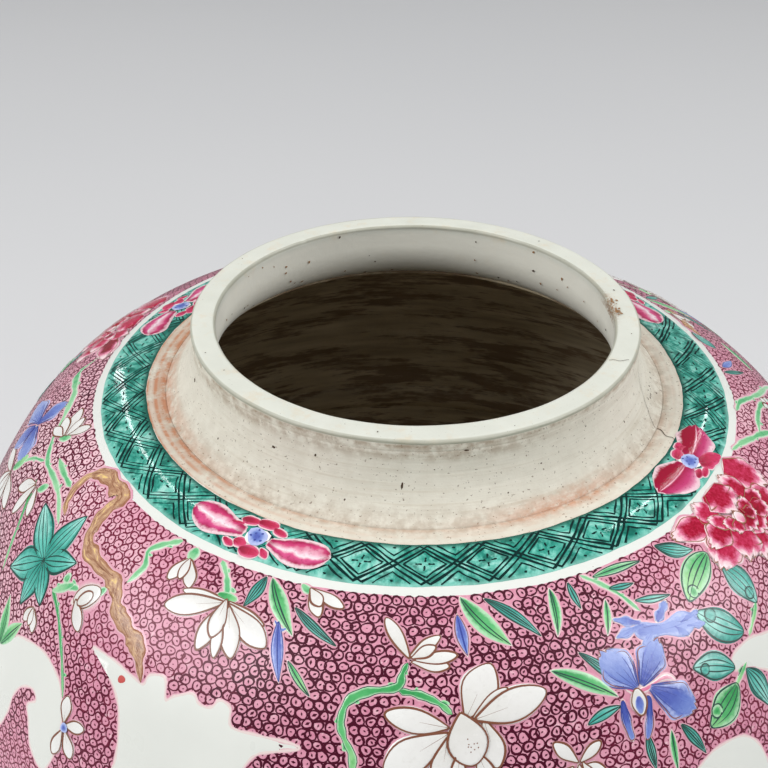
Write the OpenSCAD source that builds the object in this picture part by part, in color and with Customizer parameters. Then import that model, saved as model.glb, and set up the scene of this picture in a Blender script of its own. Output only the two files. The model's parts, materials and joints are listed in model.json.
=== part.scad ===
// Ginger jar of porcelain, without its cover.
// It is thrown in sections that are joined with slip, and stands on a turned foot ring.
// The origin is the centre of the foot's resting face, and +Z is up the jar's axis.

/* [Overall] */
// Height from the resting face of the foot to the top of the lip
height = 384; // [374:1:394]
// Thickness of the thrown wall
wall = 7.5; // [6:0.5:9]

/* [Collar] */
// Height of the collar above the shoulder's ledge
collar_h = 22; // [20:1:26]
// Outer radius of the lip
lip_r = 68; // [66:0.5:70]
// Radius of the straight bore in the mouth
mouth_r = 60.5; // [59:0.5:62]
// Depth of the straight bore, measured from the top of the lip
mouth_depth = 8; // [6:1:12]
// Rounding of the lip's two edges
lip_round = 1; // [0.5:0.25:1.5]
// Outer radius of the collar where it meets the ledge
collar_base_r = 77; // [75:0.5:79]
// Height of the hollow flare at the collar's foot
flare_h = 17; // [15:0.5:18]
// Inner radius at the bottom of the collar, where the shoulder opens out
throat_r = 70; // [68:0.5:71]
// Depth of the seat in the ledge that the collar's foot is let into
seat_h = 0.5; // [0.25:0.25:1]

/* [Shoulder and belly] */
// Radius at which the flat ledge ends and the shoulder's curve begins
ledge_r = 81; // [80:0.5:83]
// Radius of the shoulder's curve
shoulder_curve = 58; // [54:1:62]
// Angle from the top at which the shoulder's curve hands over to the belly's
shoulder_turn = 54; // [48:1:60]
// Radius of the belly's curve
belly_curve = 138; // [130:1:146]
// Depth of the thin inner rim that carries the collar
rim_h = 1; // [0.5:0.25:2]

/* [Slip seam at the waist] */
// Half height of the bead of slip
bead_half_h = 6; // [4:0.5:7]
// How far the bead stands out from the inner wall
bead_proud = 2.5; // [1.5:0.25:4]
// How far the trimmed band under the bead is cut in from the belly's inner curve
band_inset = 0.3; // [0.2:0.05:0.5]

/* [Foot] */
// Outer radius of the foot ring
foot_r = 84; // [82:0.5:88]
// Height of the foot ring
foot_h = 14; // [10:1:16]
// Width of the foot ring at its top
foot_w = 10; // [9:0.5:12]
// How much the foot ring's inner wall leans outward towards the floor
foot_lean = 1.5; // [1:0.25:3]
// Bevel on both edges of the resting face
foot_bevel = 1.5; // [1:0.25:2.5]
// Thickness of the base plate
base_t = 9; // [7:0.5:11]
// How far the base plate reaches out over the foot ring
base_lap = 3; // [2:0.5:4]

/* [Hidden] */

// Steps in each drawn curve, and the roundness of every revolved form
curve_steps = 18;
edge_steps = 6;
$fn = 180;

// Heights of the joints between the sections
ledge_z = height - collar_h;
seat_z = ledge_z - seat_h;
shoulder_z = ledge_z - shoulder_curve;
base_top_z = foot_h + base_t;

// Belly: its curve is tangent to the shoulder's and is widest where the two thrown halves meet
curve_gap = belly_curve - shoulder_curve;
belly_centre_r = ledge_r - curve_gap * sin(shoulder_turn);
belly_z = shoulder_z - curve_gap * cos(shoulder_turn);
belly_r = belly_centre_r + belly_curve;

// Flank: one long curve from the belly to the top of the foot ring
flank_in = belly_r - foot_r;
flank_drop = belly_z - foot_h;
flank_curve = (flank_in * flank_in + flank_drop * flank_drop) / (2 * flank_in);
flank_centre_r = belly_r - flank_curve;
flank_end = 90 + asin(flank_drop / flank_curve);
flank_inner_end = 90 + asin((belly_z - base_top_z) / (flank_curve - wall));

// Trimmed band that the bead of slip lies on
band_r = belly_r - wall - band_inset;
band_half_h = bead_half_h + 1;
bead_curve = (bead_half_h * bead_half_h + bead_proud * bead_proud) / (2 * bead_proud);

// Hollow flare of the collar
flare_in = collar_base_r - lip_r;
flare_curve = (flare_in * flare_in + flare_h * flare_h) / (2 * flare_in);

// Inside, the collar's wall follows the flare down from the end of the straight bore
bore_end_z = height - mouth_depth;
throat_in = throat_r - mouth_r;
throat_h = bore_end_z - seat_z;
throat_curve = (throat_in * throat_in + throat_h * throat_h) / (2 * throat_in);

// Foot
plate_r = foot_r - foot_w + base_lap;

// Points on a curve about (centre_r, centre_z), with angles measured from the top towards the outside
function curve_points(centre_r, centre_z, radius, from, to, steps) = [
    for (i = [0 : steps])
        let (angle = from + (to - from) * i / steps)
        [centre_r + radius * sin(angle), centre_z + radius * cos(angle)]
];

// Height on the belly's inner curve is known at the band, so its end angle follows from it
band_upper_angle = acos(band_half_h / (belly_curve - wall));
band_lower_angle = 90 + asin(band_half_h / (flank_curve - wall));

module turned(points) {
    rotate_extrude() polygon(points);
}

module neck_collar() {
    color("antiquewhite")
    turned(concat(
        curve_points(mouth_r + lip_round, height - lip_round, lip_round, -90, 0, edge_steps),
        curve_points(lip_r - lip_round, height - lip_round, lip_round, 0, 90, edge_steps),
        curve_points(lip_r + flare_curve, ledge_z + flare_h, flare_curve,
                     270, 270 - asin(flare_h / flare_curve), curve_steps),
        [[collar_base_r, seat_z]],
        curve_points(mouth_r + throat_curve, bore_end_z, throat_curve,
                     270 - asin(throat_h / throat_curve), 270, curve_steps)
    ));
}

module upper_body() {
    color("palevioletred")
    turned(concat(
        [[throat_r, seat_z - rim_h], [throat_r, seat_z]],
        [[collar_base_r, seat_z], [collar_base_r, ledge_z]],
        curve_points(ledge_r, shoulder_z, shoulder_curve, 0, shoulder_turn, curve_steps),
        curve_points(belly_centre_r, belly_z, belly_curve, shoulder_turn, 90, curve_steps),
        [[band_r, belly_z], [band_r, belly_z + band_half_h]],
        curve_points(belly_centre_r, belly_z, belly_curve - wall,
                     band_upper_angle, shoulder_turn, curve_steps),
        curve_points(ledge_r, shoulder_z, shoulder_curve - wall, shoulder_turn, 0, curve_steps)
    ));
}

module waist_seam() {
    color("tan")
    rotate_extrude()
    intersection() {
        translate([band_r + bead_curve - bead_proud, belly_z])
            circle(r = bead_curve);
        translate([band_r - bead_proud, belly_z - bead_half_h])
            square([bead_proud, 2 * bead_half_h]);
    }
}

module lower_body() {
    color("mistyrose")
    turned(concat(
        [[band_r, belly_z - band_half_h], [band_r, belly_z]],
        curve_points(flank_centre_r, belly_z, flank_curve, 90, flank_end, curve_steps),
        [[plate_r, foot_h], [plate_r, base_top_z]],
        curve_points(flank_centre_r, belly_z, flank_curve - wall,
                     flank_inner_end, band_lower_angle, curve_steps)
    ));
}

module base_plate() {
    color("ivory")
    translate([0, 0, foot_h])
        cylinder(r = plate_r, h = base_t);
}

module foot_ring() {
    color("linen")
    turned([
        [foot_r - foot_w, foot_h],
        [foot_r, foot_h],
        [foot_r, foot_bevel],
        [foot_r - foot_bevel, 0],
        [foot_r - foot_w + foot_lean + foot_bevel, 0],
        [foot_r - foot_w + foot_lean, foot_bevel]
    ]);
}

foot_ring();
base_plate();
lower_body();
waist_seam();
upper_body();
neck_collar();
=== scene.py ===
"""Looks of a painted porcelain ginger jar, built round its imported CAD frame.

Lengths are in millimetres until a mesh is made. The painted surface is a canvas with two coordinates:
azimuth in degrees (0 faces -Y, positive towards +X), and s, the distance down the jar's outline from
the place where the enamel begins, just outside the bare ledge. Paint is laid on it as thin shells.
"""

import itertools
import json
import math
import random

import bpy
import numpy as np
from mathutils import Matrix, Vector
from mathutils.geometry import delaunay_2d_cdt

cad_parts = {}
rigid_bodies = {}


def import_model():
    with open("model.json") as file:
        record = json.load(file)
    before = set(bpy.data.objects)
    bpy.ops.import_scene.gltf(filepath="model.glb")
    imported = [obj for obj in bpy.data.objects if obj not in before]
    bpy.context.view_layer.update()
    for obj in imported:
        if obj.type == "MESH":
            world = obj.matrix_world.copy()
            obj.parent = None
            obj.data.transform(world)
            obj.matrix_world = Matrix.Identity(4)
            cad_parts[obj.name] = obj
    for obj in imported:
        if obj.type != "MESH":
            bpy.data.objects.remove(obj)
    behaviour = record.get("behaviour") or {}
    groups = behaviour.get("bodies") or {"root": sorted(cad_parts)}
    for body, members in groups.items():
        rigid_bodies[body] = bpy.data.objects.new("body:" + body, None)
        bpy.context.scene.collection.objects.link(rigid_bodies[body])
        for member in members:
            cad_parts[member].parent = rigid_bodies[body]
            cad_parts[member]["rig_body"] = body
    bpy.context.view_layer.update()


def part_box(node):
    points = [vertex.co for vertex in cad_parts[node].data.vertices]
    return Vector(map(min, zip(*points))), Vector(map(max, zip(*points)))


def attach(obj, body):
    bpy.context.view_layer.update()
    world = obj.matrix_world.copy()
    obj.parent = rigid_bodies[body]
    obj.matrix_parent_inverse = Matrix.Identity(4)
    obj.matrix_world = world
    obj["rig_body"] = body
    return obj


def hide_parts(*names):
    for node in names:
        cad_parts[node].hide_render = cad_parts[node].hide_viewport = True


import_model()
MM = 0.001


# ---------------------------------------------------------------- sizes from the frame

def node_span(node):
    """A CAD node's lowest and highest corners in millimetres."""
    low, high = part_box(node)
    return low / MM, high / MM


_, collar_high = node_span("neck_collar")
LIP_Z = collar_high.z
LEDGE_Z = node_span("upper_body")[1].z
COLLAR_BASE_R = collar_high.x
BELLY_R = node_span("upper_body")[1].x
BELLY_Z = node_span("upper_body")[0].z
FOOT_R = node_span("foot_ring")[1].x
FOOT_H = node_span("foot_ring")[1].z
PLATE_R = node_span("base_plate")[1].x
PLATE_TOP = node_span("base_plate")[1].z

# The rest of the outline, as the CAD model has it
LIP_R, MOUTH_R, THROAT_R = 68.0, 60.5, 70.0
LIP_ROUND, MOUTH_DEPTH, FLARE_H = 1.0, 8.0, 17.0
WALL = 7.5
RIM_H, SEAT_H = 1.0, 0.5
LEDGE_R, SHOULDER_CURVE, BELLY_CURVE = 81.0, 58.0, 138.0
SHOULDER_TURN = math.radians(54)
BEAD_HALF_H, BEAD_PROUD, BAND_INSET = 6.0, 2.5, 0.3
FOOT_W, FOOT_LEAN, FOOT_BEVEL = 10.0, 1.5, 1.5
ENAMEL_R = 83.0


def arc_radius(across, along):
    """Radius of an arc that moves off a straight line by across over a distance along."""
    return (across**2 + along**2) / (2 * across)


SHOULDER_Z = LEDGE_Z - SHOULDER_CURVE
BELLY_CENTRE_R = BELLY_R - BELLY_CURVE
FLANK_IN, FLANK_DROP = BELLY_R - FOOT_R, BELLY_Z - FOOT_H
FLANK_CURVE = arc_radius(FLANK_IN, FLANK_DROP)
FLANK_TURN = math.asin(FLANK_DROP / FLANK_CURVE)
BAND_R = BELLY_R - WALL - BAND_INSET
BEAD_CURVE = arc_radius(BEAD_PROUD, BEAD_HALF_H)
FLARE_CURVE = arc_radius(COLLAR_BASE_R - LIP_R, FLARE_H)
BORE_Z = LIP_Z - MOUTH_DEPTH
THROAT_H = BORE_Z - LEDGE_Z + SEAT_H
THROAT_CURVE = arc_radius(THROAT_R - MOUTH_R, THROAT_H)

# Where each curve of the outline begins, as distance s and angle from the top
ENAMEL_ANGLE = math.asin((ENAMEL_R - LEDGE_R) / SHOULDER_CURVE)
S_BELLY = SHOULDER_CURVE * (SHOULDER_TURN - ENAMEL_ANGLE)
S_WAIST = S_BELLY + BELLY_CURVE * (math.pi / 2 - SHOULDER_TURN)
S_FOOT = S_WAIST + FLANK_CURVE * FLANK_TURN
LEDGE_OUT_S = -SHOULDER_CURVE * ENAMEL_ANGLE

# ---------------------------------------------------------------- layers of paint, in mm above the glaze

GROUND_H = 0.05
RING_H = 0.08
HALO_LOW, HALO_H = 0.10, 0.13
STEM_H = 0.15
LEAF_H = 0.20
PETAL_H = 0.27
TIER_H = 0.07

# Bands of the decoration, as distances down the outline
BORDER_DEPTH = 14.0
GROUND_TOP = 16.6
GROUND_END = S_FOOT - 36.0
FOOT_BORDER_TOP = S_FOOT - 33.0


def outline(s):
    """Radius, height and angle from the top of the jar's outline at distance s."""
    s = np.asarray(s, float)
    on_shoulder, on_belly = s < S_BELLY, s < S_WAIST
    angle = np.where(
        on_shoulder,
        ENAMEL_ANGLE + s / SHOULDER_CURVE,
        np.where(
            on_belly,
            SHOULDER_TURN + (s - S_BELLY) / BELLY_CURVE,
            math.pi / 2 + (s - S_WAIST) / FLANK_CURVE,
        ),
    )
    curve = np.where(on_shoulder, SHOULDER_CURVE, np.where(on_belly, BELLY_CURVE, FLANK_CURVE))
    centre_r = np.where(
        on_shoulder, LEDGE_R, np.where(on_belly, BELLY_CENTRE_R, BELLY_R - FLANK_CURVE)
    )
    centre_z = np.where(on_shoulder, SHOULDER_Z, BELLY_Z)
    return centre_r + curve * np.sin(angle), centre_z + curve * np.cos(angle), angle


def wobble(azimuth, s):
    """How far the hand-thrown wall stands off its true outline."""
    a = np.radians(azimuth)
    fade = np.clip((np.asarray(s, float) + 2) / 12, 0, 1)
    slow = 0.16 * np.sin(2 * a + 0.8 + s / 90) + 0.07 * np.sin(5 * a + s / 31)
    ridges = 0.03 * np.sin(s / 2.1 + 0.6 * np.sin(3 * a)) + 0.04 * np.sin(s / 5.3 + a)
    return fade * (slow + ridges)


def around(azimuth, radius, z):
    """Points in space, as an array with a last axis of x, y, z."""
    a = np.radians(azimuth)
    return np.stack(np.broadcast_arrays(radius * np.sin(a), -radius * np.cos(a), z), -1)


def on_canvas(azimuth, s, lift=0.0):
    """Points in space for canvas coordinates, lifted off the glaze."""
    radius, z, angle = outline(s)
    out = lift + wobble(azimuth, s)
    return around(azimuth, radius + out * np.sin(angle), z + out * np.cos(angle))


def radius_at(s):
    """The jar's outer radius at a distance down its outline."""
    return outline(s)[0]


# ---------------------------------------------------------------- meshes

def make_object(name, co, faces, materials, paint=None, face_material=None, body="root"):
    """A smooth mesh object from points in mm and lists of equal-sized faces, riding on the jar."""
    mesh = bpy.data.meshes.new(name)
    mesh.vertices.add(len(co))
    mesh.vertices.foreach_set("co", (np.asarray(co) * MM).astype(np.float32).ravel())
    loops = np.concatenate([f.ravel() for f in faces]).astype(np.int32)
    sizes = np.concatenate([np.full(len(f), f.shape[1]) for f in faces])
    starts = np.concatenate([[0], np.cumsum(sizes)[:-1]]).astype(np.int32)
    mesh.loops.add(len(loops))
    mesh.loops.foreach_set("vertex_index", loops)
    mesh.polygons.add(len(sizes))
    mesh.polygons.foreach_set("loop_start", starts)
    if face_material is not None:
        mesh.polygons.foreach_set("material_index", face_material.astype(np.int32))
    mesh.update(calc_edges=True)
    mesh.validate()
    mesh.shade_smooth()
    if paint is not None:
        layer = mesh.attributes.new("paint", "FLOAT_COLOR", "POINT")
        layer.data.foreach_set("color", np.asarray(paint, np.float32).ravel())
    for material in materials:
        mesh.materials.append(material)
    piece = bpy.data.objects.new(name, mesh)
    bpy.context.scene.collection.objects.link(piece)
    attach(piece, body)
    return piece


def ragged_disc(turns, shares, *waves):
    """A patch of radius 1 with an uneven edge: x and y of its rings of points, and its faces.

    Each wave is (depth, count round the edge, phase).
    """
    t = np.linspace(0, 2 * math.pi, turns, endpoint=False)
    uneven = 1 + sum(depth * np.sin(count * t + phase) for depth, count, phase in waves)
    reach = np.array(shares)[:, None] * uneven
    faces = grid_faces(len(shares), turns, closed_columns=True)
    return reach * np.cos(t), reach * np.sin(t), faces


def grid_faces(rows, columns, closed_rows=False, closed_columns=False):
    """Quads of a grid of points, row by row."""
    i = np.arange(rows if closed_rows else rows - 1)
    j = np.arange(columns if closed_columns else columns - 1)
    i, j = np.meshgrid(i, j, indexing="ij")
    down, along = (i + 1) % rows, (j + 1) % columns
    quads = [i * columns + j, down * columns + j, down * columns + along, i * columns + along]
    return np.stack(quads, -1).reshape(-1, 4)


class Layer:
    """Collects the shells of one paint and makes one mesh of them.

    Each point carries four paint values: way along the stroke, way across it, rim, and tone.
    """

    def __init__(self):
        self.co, self.paint, self.quads, self.triangles, self.count = [], [], [], [], 0

    def add(self, co, faces, paint=None, facing=1):
        """Adds a shell, turned to face away from the belly's middle, or towards it if facing is -1."""
        points = co.reshape(-1, 3)
        paint = np.full((len(points), 4), 0.5) if paint is None else paint
        a, b, c, d = (points[faces[:, k]] for k in (0, 1, 2, -1))
        away = facing * (a - [0, 0, BELLY_Z])
        if (np.cross(c - a, d - b) * away).sum() < 0:
            faces = faces[:, ::-1]
        faces = faces + self.count
        if faces.shape[1] == 4:
            # Where a row has shrunk to a point, its quads become triangles
            starts_in_point = np.linalg.norm(a - d, axis=1) < 1e-6
            ends_in_point = np.linalg.norm(b - c, axis=1) < 1e-6
            self.triangles.append(faces[starts_in_point & ~ends_in_point][:, :3])
            self.triangles.append(faces[ends_in_point & ~starts_in_point][:, [0, 1, 3]])
            self.quads.append(faces[~(starts_in_point | ends_in_point)])
        else:
            self.triangles.append(faces)
        self.co.append(points)
        self.paint.append(paint.reshape(-1, 4))
        self.count += len(points)

    def patch(self, azimuth, s, lift, along, across, rim, tone):
        """A grid of canvas points."""
        co = on_canvas(azimuth, s, lift)
        parts = np.broadcast_arrays(along, across, rim, np.full(azimuth.shape, tone))
        self.add(co, grid_faces(*azimuth.shape), np.stack(parts, -1))

    def build(self, name, material, slot):
        """Makes the Blender object from everything added so far."""
        faces = [np.concatenate(f) for f in (self.quads, self.triangles) if f]
        piece = make_object(
            name, np.concatenate(self.co), faces, [material], np.concatenate(self.paint)
        )
        return piece


# ---------------------------------------------------------------- material building

def srgb(*values):
    """Linear RGBA from sRGB values of 0 to 255."""
    scaled = [v / 255 for v in values]
    linear = [v / 12.92 if v <= 0.04045 else ((v + 0.055) / 1.055) ** 2.4 for v in scaled]
    return (*linear, 1.0)


class Nodes:
    """A material's node tree, with short ways to add to it."""

    def __init__(self, name, roughness, specular=0.5):
        self.material = bpy.data.materials.new(name)
        self.material.use_nodes = True
        self.tree = self.material.node_tree
        self.shader = self.tree.nodes["Principled BSDF"]
        self.shader.inputs["Roughness"].default_value = roughness
        self.shader.inputs["Specular IOR Level"].default_value = specular

    def new(self, kind, **settings):
        """A new node of a kind, with its settings."""
        node = self.tree.nodes.new(kind)
        for key, value in settings.items():
            setattr(node, key, value)
        return node

    def link(self, source, target):
        """Joins an output to an input."""
        self.tree.links.new(source, target)

    def place(self, stretch=(1, 1, 1)):
        """Object coordinates in millimetres, stretched along each axis."""
        coordinates = self.new("ShaderNodeTexCoord")
        mapping = self.new("ShaderNodeMapping")
        mapping.inputs["Scale"].default_value = [1 / MM * k for k in stretch]
        self.link(coordinates.outputs["Object"], mapping.inputs["Vector"])
        return mapping.outputs["Vector"]

    def noise(self, size, detail=2.0, rough=0.5, vector=None, distortion=0.0):
        """Noise whose blotches are about size millimetres across, from 0 to 1."""
        node = self.new("ShaderNodeTexNoise")
        node.inputs["Scale"].default_value = 1 / size
        node.inputs["Detail"].default_value = detail
        node.inputs["Roughness"].default_value = rough
        node.inputs["Distortion"].default_value = distortion
        self.link(vector or self.place(), node.inputs["Vector"])
        return node.outputs["Fac"]

    def ramp(self, value, stops):
        """A colour ramp; stops are (position, colour)."""
        node = self.new("ShaderNodeValToRGB")
        elements = node.color_ramp.elements
        while len(elements) < len(stops):
            elements.new(0.5)
        for element, (position, colour) in zip(elements, stops):
            element.position, element.color = position, srgb(*colour)
        self.link(value, node.inputs["Fac"])
        return node.outputs["Color"]

    def band(self, value, low, high):
        """0 below low, 1 above high, smooth between; low may be the higher one."""
        node = self.new("ShaderNodeMapRange", interpolation_type="SMOOTHSTEP")
        node.inputs["From Min"].default_value = low
        node.inputs["From Max"].default_value = high
        self.link(value, node.inputs["Value"])
        return node.outputs["Result"]

    def math(self, operation, first, second):
        """A sum, product or the like of two outputs or plain numbers."""
        node = self.new("ShaderNodeMath", operation=operation)
        for socket, value in zip(node.inputs, (first, second)):
            if isinstance(value, (int, float)):
                socket.default_value = value
            else:
                self.link(value, socket)
        return node.outputs[0]

    def times(self, first, second):
        """One value times another."""
        return self.math("MULTIPLY", first, second)

    def plus(self, first, second):
        """One value plus another."""
        return self.math("ADD", first, second)

    def shaken(self, value, noise, amount):
        """A value pushed up and down by noise."""
        return self.plus(value, self.times(self.math("SUBTRACT", noise, 0.5), amount))

    def tint(self, colour, mask, strength, tone):
        """A colour moved towards a tone where the mask is set."""
        return self.mix(self.times(mask, strength), colour, tone)

    def stroke_space(self, *scales):
        """Coordinates that run along a stroke and across it, and differ from stroke to stroke."""
        along, across, _, tone = self.paint()
        space = self.new("ShaderNodeCombineXYZ")
        for socket, value, scale in zip(space.inputs, (along, across, tone), scales):
            self.link(self.times(value, scale), socket)
        return space.outputs[0]

    def mix(self, factor, first, second, blend="MIX"):
        """A mix of two colours, each an output or a plain colour."""
        node = self.new("ShaderNodeMix", data_type="RGBA", blend_type=blend)
        for socket, value in ((node.inputs[0], factor), (node.inputs[6], first), (node.inputs[7], second)):
            if isinstance(value, (int, float, tuple)):
                socket.default_value = srgb(*value) if isinstance(value, tuple) else value
            else:
                self.link(value, socket)
        return node.outputs[2]

    def paint(self):
        """The four paint values: along, across, rim, tone."""
        attribute = self.new("ShaderNodeAttribute", attribute_name="paint")
        parts = self.new("ShaderNodeSeparateColor")
        self.link(attribute.outputs["Color"], parts.inputs["Color"])
        return (*parts.outputs[:3], attribute.outputs["Alpha"])

    def bump(self, *layers):
        """Chained bumps; each layer is (height value, depth in mm)."""
        normal = None
        for height, depth in layers:
            node = self.new("ShaderNodeBump")
            node.inputs["Strength"].default_value = 1.0
            node.inputs["Distance"].default_value = depth * MM
            self.link(height, node.inputs["Height"])
            if normal is not None:
                self.link(normal, node.inputs["Normal"])
            normal = node.outputs["Normal"]
        self.link(normal, self.shader.inputs["Normal"])

    def finish(self, colour, roughness=None):
        """Sets up the surface shader and returns the finished material."""
        self.link(colour, self.shader.inputs["Base Color"])
        if roughness is not None:
            self.link(roughness, self.shader.inputs["Roughness"])
        return self.material


WHITE_GLAZE = (233, 234, 228)
GLAZE_SHADE = (221, 224, 217)
PINK_LIGHT = (238, 196, 204)
PINK = (220, 152, 172)
PINK_DEEP = (198, 112, 142)


def glaze_material():
    """White porcelain glaze: faint blue-green pooling, iron specks and an uneven gloss."""
    n = Nodes("white_glaze", 0.12)
    pooled = n.mix(n.noise(38, 3), WHITE_GLAZE, GLAZE_SHADE)
    speck = n.band(n.noise(0.9, 1, 0.6), 0.79, 0.84)
    thin = n.band(n.noise(11, 2), 0.45, 0.7)
    colour = n.mix(n.times(speck, thin), pooled, (120, 98, 76))
    n.bump((n.noise(7, 2), 0.05), (n.noise(1.2, 2), 0.008))
    return n.finish(colour, n.band(n.noise(16, 3), -0.6, 2.2))


def ground_material():
    """Rose ground enamel: brushed on in uneven passes, deeper in places, and paler at the right where a
    sheen is painted in.
    """
    n = Nodes("rose_ground", 0.3)
    _, _, _, tone = n.paint()
    depth = n.plus(n.times(n.noise(30, 3, 0.6), 0.5), n.times(tone, 0.6))
    colour = n.ramp(depth, [(0.3, PINK_LIGHT), (0.5, PINK), (0.8, PINK_DEEP)])
    brushed = n.noise(1.6, 3, 0.65, distortion=0.6)
    colour = n.mix(n.band(brushed, 0.52, 0.8), colour, PINK_LIGHT)
    colour = n.mix(n.band(brushed, 0.45, 0.2), colour, PINK_DEEP)
    n.bump((brushed, 0.03))
    return n.finish(colour, n.band(brushed, -1.2, 2.6))


def wash_material():
    """The pale edge left round each motif, which fades into the rose ground."""
    n = Nodes("pale_reserve", 0.2)
    _, _, rim, _ = n.paint()
    uneven = n.plus(rim, n.times(n.noise(1.1, 2), 0.35))
    colour = n.mix(n.band(uneven, 0.55, 1.2), (232, 216, 210), (221, 154, 174))
    return n.finish(colour)


def reserve_material():
    """Plain glaze left white inside the rose ground."""
    n = Nodes("white_reserve", 0.12)
    colour = n.mix(n.noise(24, 3), (230, 231, 224), (218, 220, 213))
    n.bump((n.noise(6, 2), 0.04))
    return n.finish(colour, n.band(n.noise(16, 3), -0.6, 2.2))


def enamel_material(name, base, middle, tip, rim_colour=None, streak=None, roughness=0.2):
    """A translucent enamel that changes colour along the stroke, with brushed streaks and mottling."""
    n = Nodes(name, roughness)
    along, _, rim, tone = n.paint()
    shifted = n.shaken(n.shaken(along, n.noise(3.5, 3, 0.6), 0.7), tone, 0.6)
    colour = n.ramp(shifted, [(0.05, base), (0.5, middle), (0.95, tip)])
    if rim_colour is not None:
        colour = n.mix(n.band(n.shaken(rim, n.noise(1.2, 2), 0.5), 0.42, 0.92), colour, rim_colour)
    if streak is not None:
        brushed = n.noise(1.0, 2, 0.6, vector=n.stroke_space(2.2, 9.0, 31.0))
        colour = n.mix(n.band(brushed, 0.52, 0.8), colour, streak)
    pooled = n.noise(1.3, 3, 0.6)
    colour = n.mix(n.times(n.band(pooled, 0.55, 0.8), 0.35), colour, (0, 0, 0), "SOFT_LIGHT")
    n.bump((pooled, 0.05))
    return n.finish(colour, n.band(n.noise(5, 2), -1.0, 3.6))


def border_petal_material(name, stops, uneven):
    """The long petals on the border, whose colour changes from one side to the other."""
    n = Nodes(name, 0.08, 0.3)
    along, across, rim, _ = n.paint()
    colour = n.ramp(n.shaken(across, n.noise(3.4, 2), uneven), stops)
    ends = n.math("ABSOLUTE", n.math("SUBTRACT", along, 0.52), 0.0)
    colour = n.tint(colour, n.band(ends, 0.3, 0.5), 0.8, (160, 22, 72))
    ragged = n.plus(rim, n.times(n.noise(1.5, 2), 0.4))
    colour = n.mix(n.band(ragged, 0.92, 1.2), colour, (242, 208, 216))
    mottled = n.band(n.noise(0.9, 3, 0.7), 0.55, 0.7)
    colour = n.tint(colour, mottled, 0.4, (122, 10, 34))
    n.bump((n.noise(1.3, 3, 0.6), 0.03))
    return n.finish(colour)


def white_halo_material():
    """White enamel that borders the ruby shapes on the border."""
    n = Nodes("white_halo", 0.22)
    return n.finish(n.mix(n.noise(2.2, 2), (236, 220, 220), (226, 186, 194)))


def peony_material():
    """Ruby enamel of the peony: deep at the petal's base and paler towards its edge."""
    n = Nodes("peony", 0.1, 0.3)
    along, _, rim, tone = n.paint()
    mottled = n.noise(1.1, 3, 0.7)
    depth = n.plus(n.times(tone, 0.35), n.times(mottled, 0.65))
    colour = n.ramp(depth, [(0.3, (128, 6, 30)), (0.5, (170, 18, 52)), (0.72, (204, 56, 96))])
    towards = n.times(rim, n.band(along, 0.1, 0.45))
    outward = n.math("MAXIMUM", towards, n.band(along, 0.4, 1.0))
    outward = n.shaken(outward, mottled, 0.5)
    colour = n.mix(n.band(outward, 0.34, 0.74), colour, (226, 122, 156))
    colour = n.mix(n.band(outward, 0.62, 0.94), colour, (246, 216, 220))
    n.bump((n.noise(1.3, 3, 0.6), 0.05))
    return n.finish(colour)


def border_material():
    """Green border enamel: pools of dark and pale turquoise under the drawn lattice."""
    n = Nodes("border_green", 0.06)
    wash = n.noise(6.0, 4, 0.66, distortion=0.5)
    colour = n.ramp(
        wash,
        [(0.34, (14, 108, 92)), (0.45, (48, 150, 132)), (0.54, (104, 192, 174)), (0.68, (168, 222, 210))],
    )
    _, across, _, _ = n.paint()
    patchy = n.noise(4.2, 3, 0.6)
    colour = n.tint(colour, n.band(patchy, 0.54, 0.66), 0.75, (14, 98, 84))
    colour = n.mix(n.band(across, 0.16, 0.0), colour, (10, 84, 70))
    colour = n.tint(colour, n.band(across, 0.88, 1.0), 0.5, (150, 208, 194))
    n.bump((wash, 0.03), (n.noise(1.4, 2), 0.012))
    return n.finish(colour)


def clay_material():
    """Bare porcelain: warm grey-beige with wheel lines, iron specks, grime and flashes of orange."""
    n = Nodes("bare_clay", 0.62, 0.25)
    wheel = n.place((0.02, 0.02, 1.0))
    bands = n.noise(1.1, 3, 0.7, vector=wheel)
    fine = n.noise(0.35, 2, 0.6, vector=n.place((0.06, 0.06, 1.0)))
    colour = n.mix(n.noise(13, 3), (230, 225, 211), (213, 209, 195))
    colour = n.tint(colour, n.band(bands, 0.5, 0.72), 0.3, (190, 178, 156))
    colour = n.tint(colour, n.band(fine, 0.55, 0.75), 0.18, (176, 162, 142))
    speck = n.band(n.noise(0.75, 1, 0.6), 0.68, 0.74)
    colour = n.tint(colour, speck, 0.7, (108, 90, 74))
    _, _, grime, stain = n.paint()
    blotchy = n.band(n.noise(3.2, 3, 0.65), 0.3, 0.65)
    colour = n.tint(colour, n.times(grime, blotchy), 0.75, (150, 128, 104))
    rust = n.times(stain, n.band(n.noise(5.0, 3, 0.7, vector=n.place((1, 1, 3))), 0.25, 0.6))
    colour = n.tint(colour, rust, 0.85, (194, 122, 80))
    n.bump((bands, 0.06), (fine, 0.02), (n.noise(0.6, 2), 0.03))
    return n.finish(colour, n.band(n.noise(9, 2), -2.0, 1.6))


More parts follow.
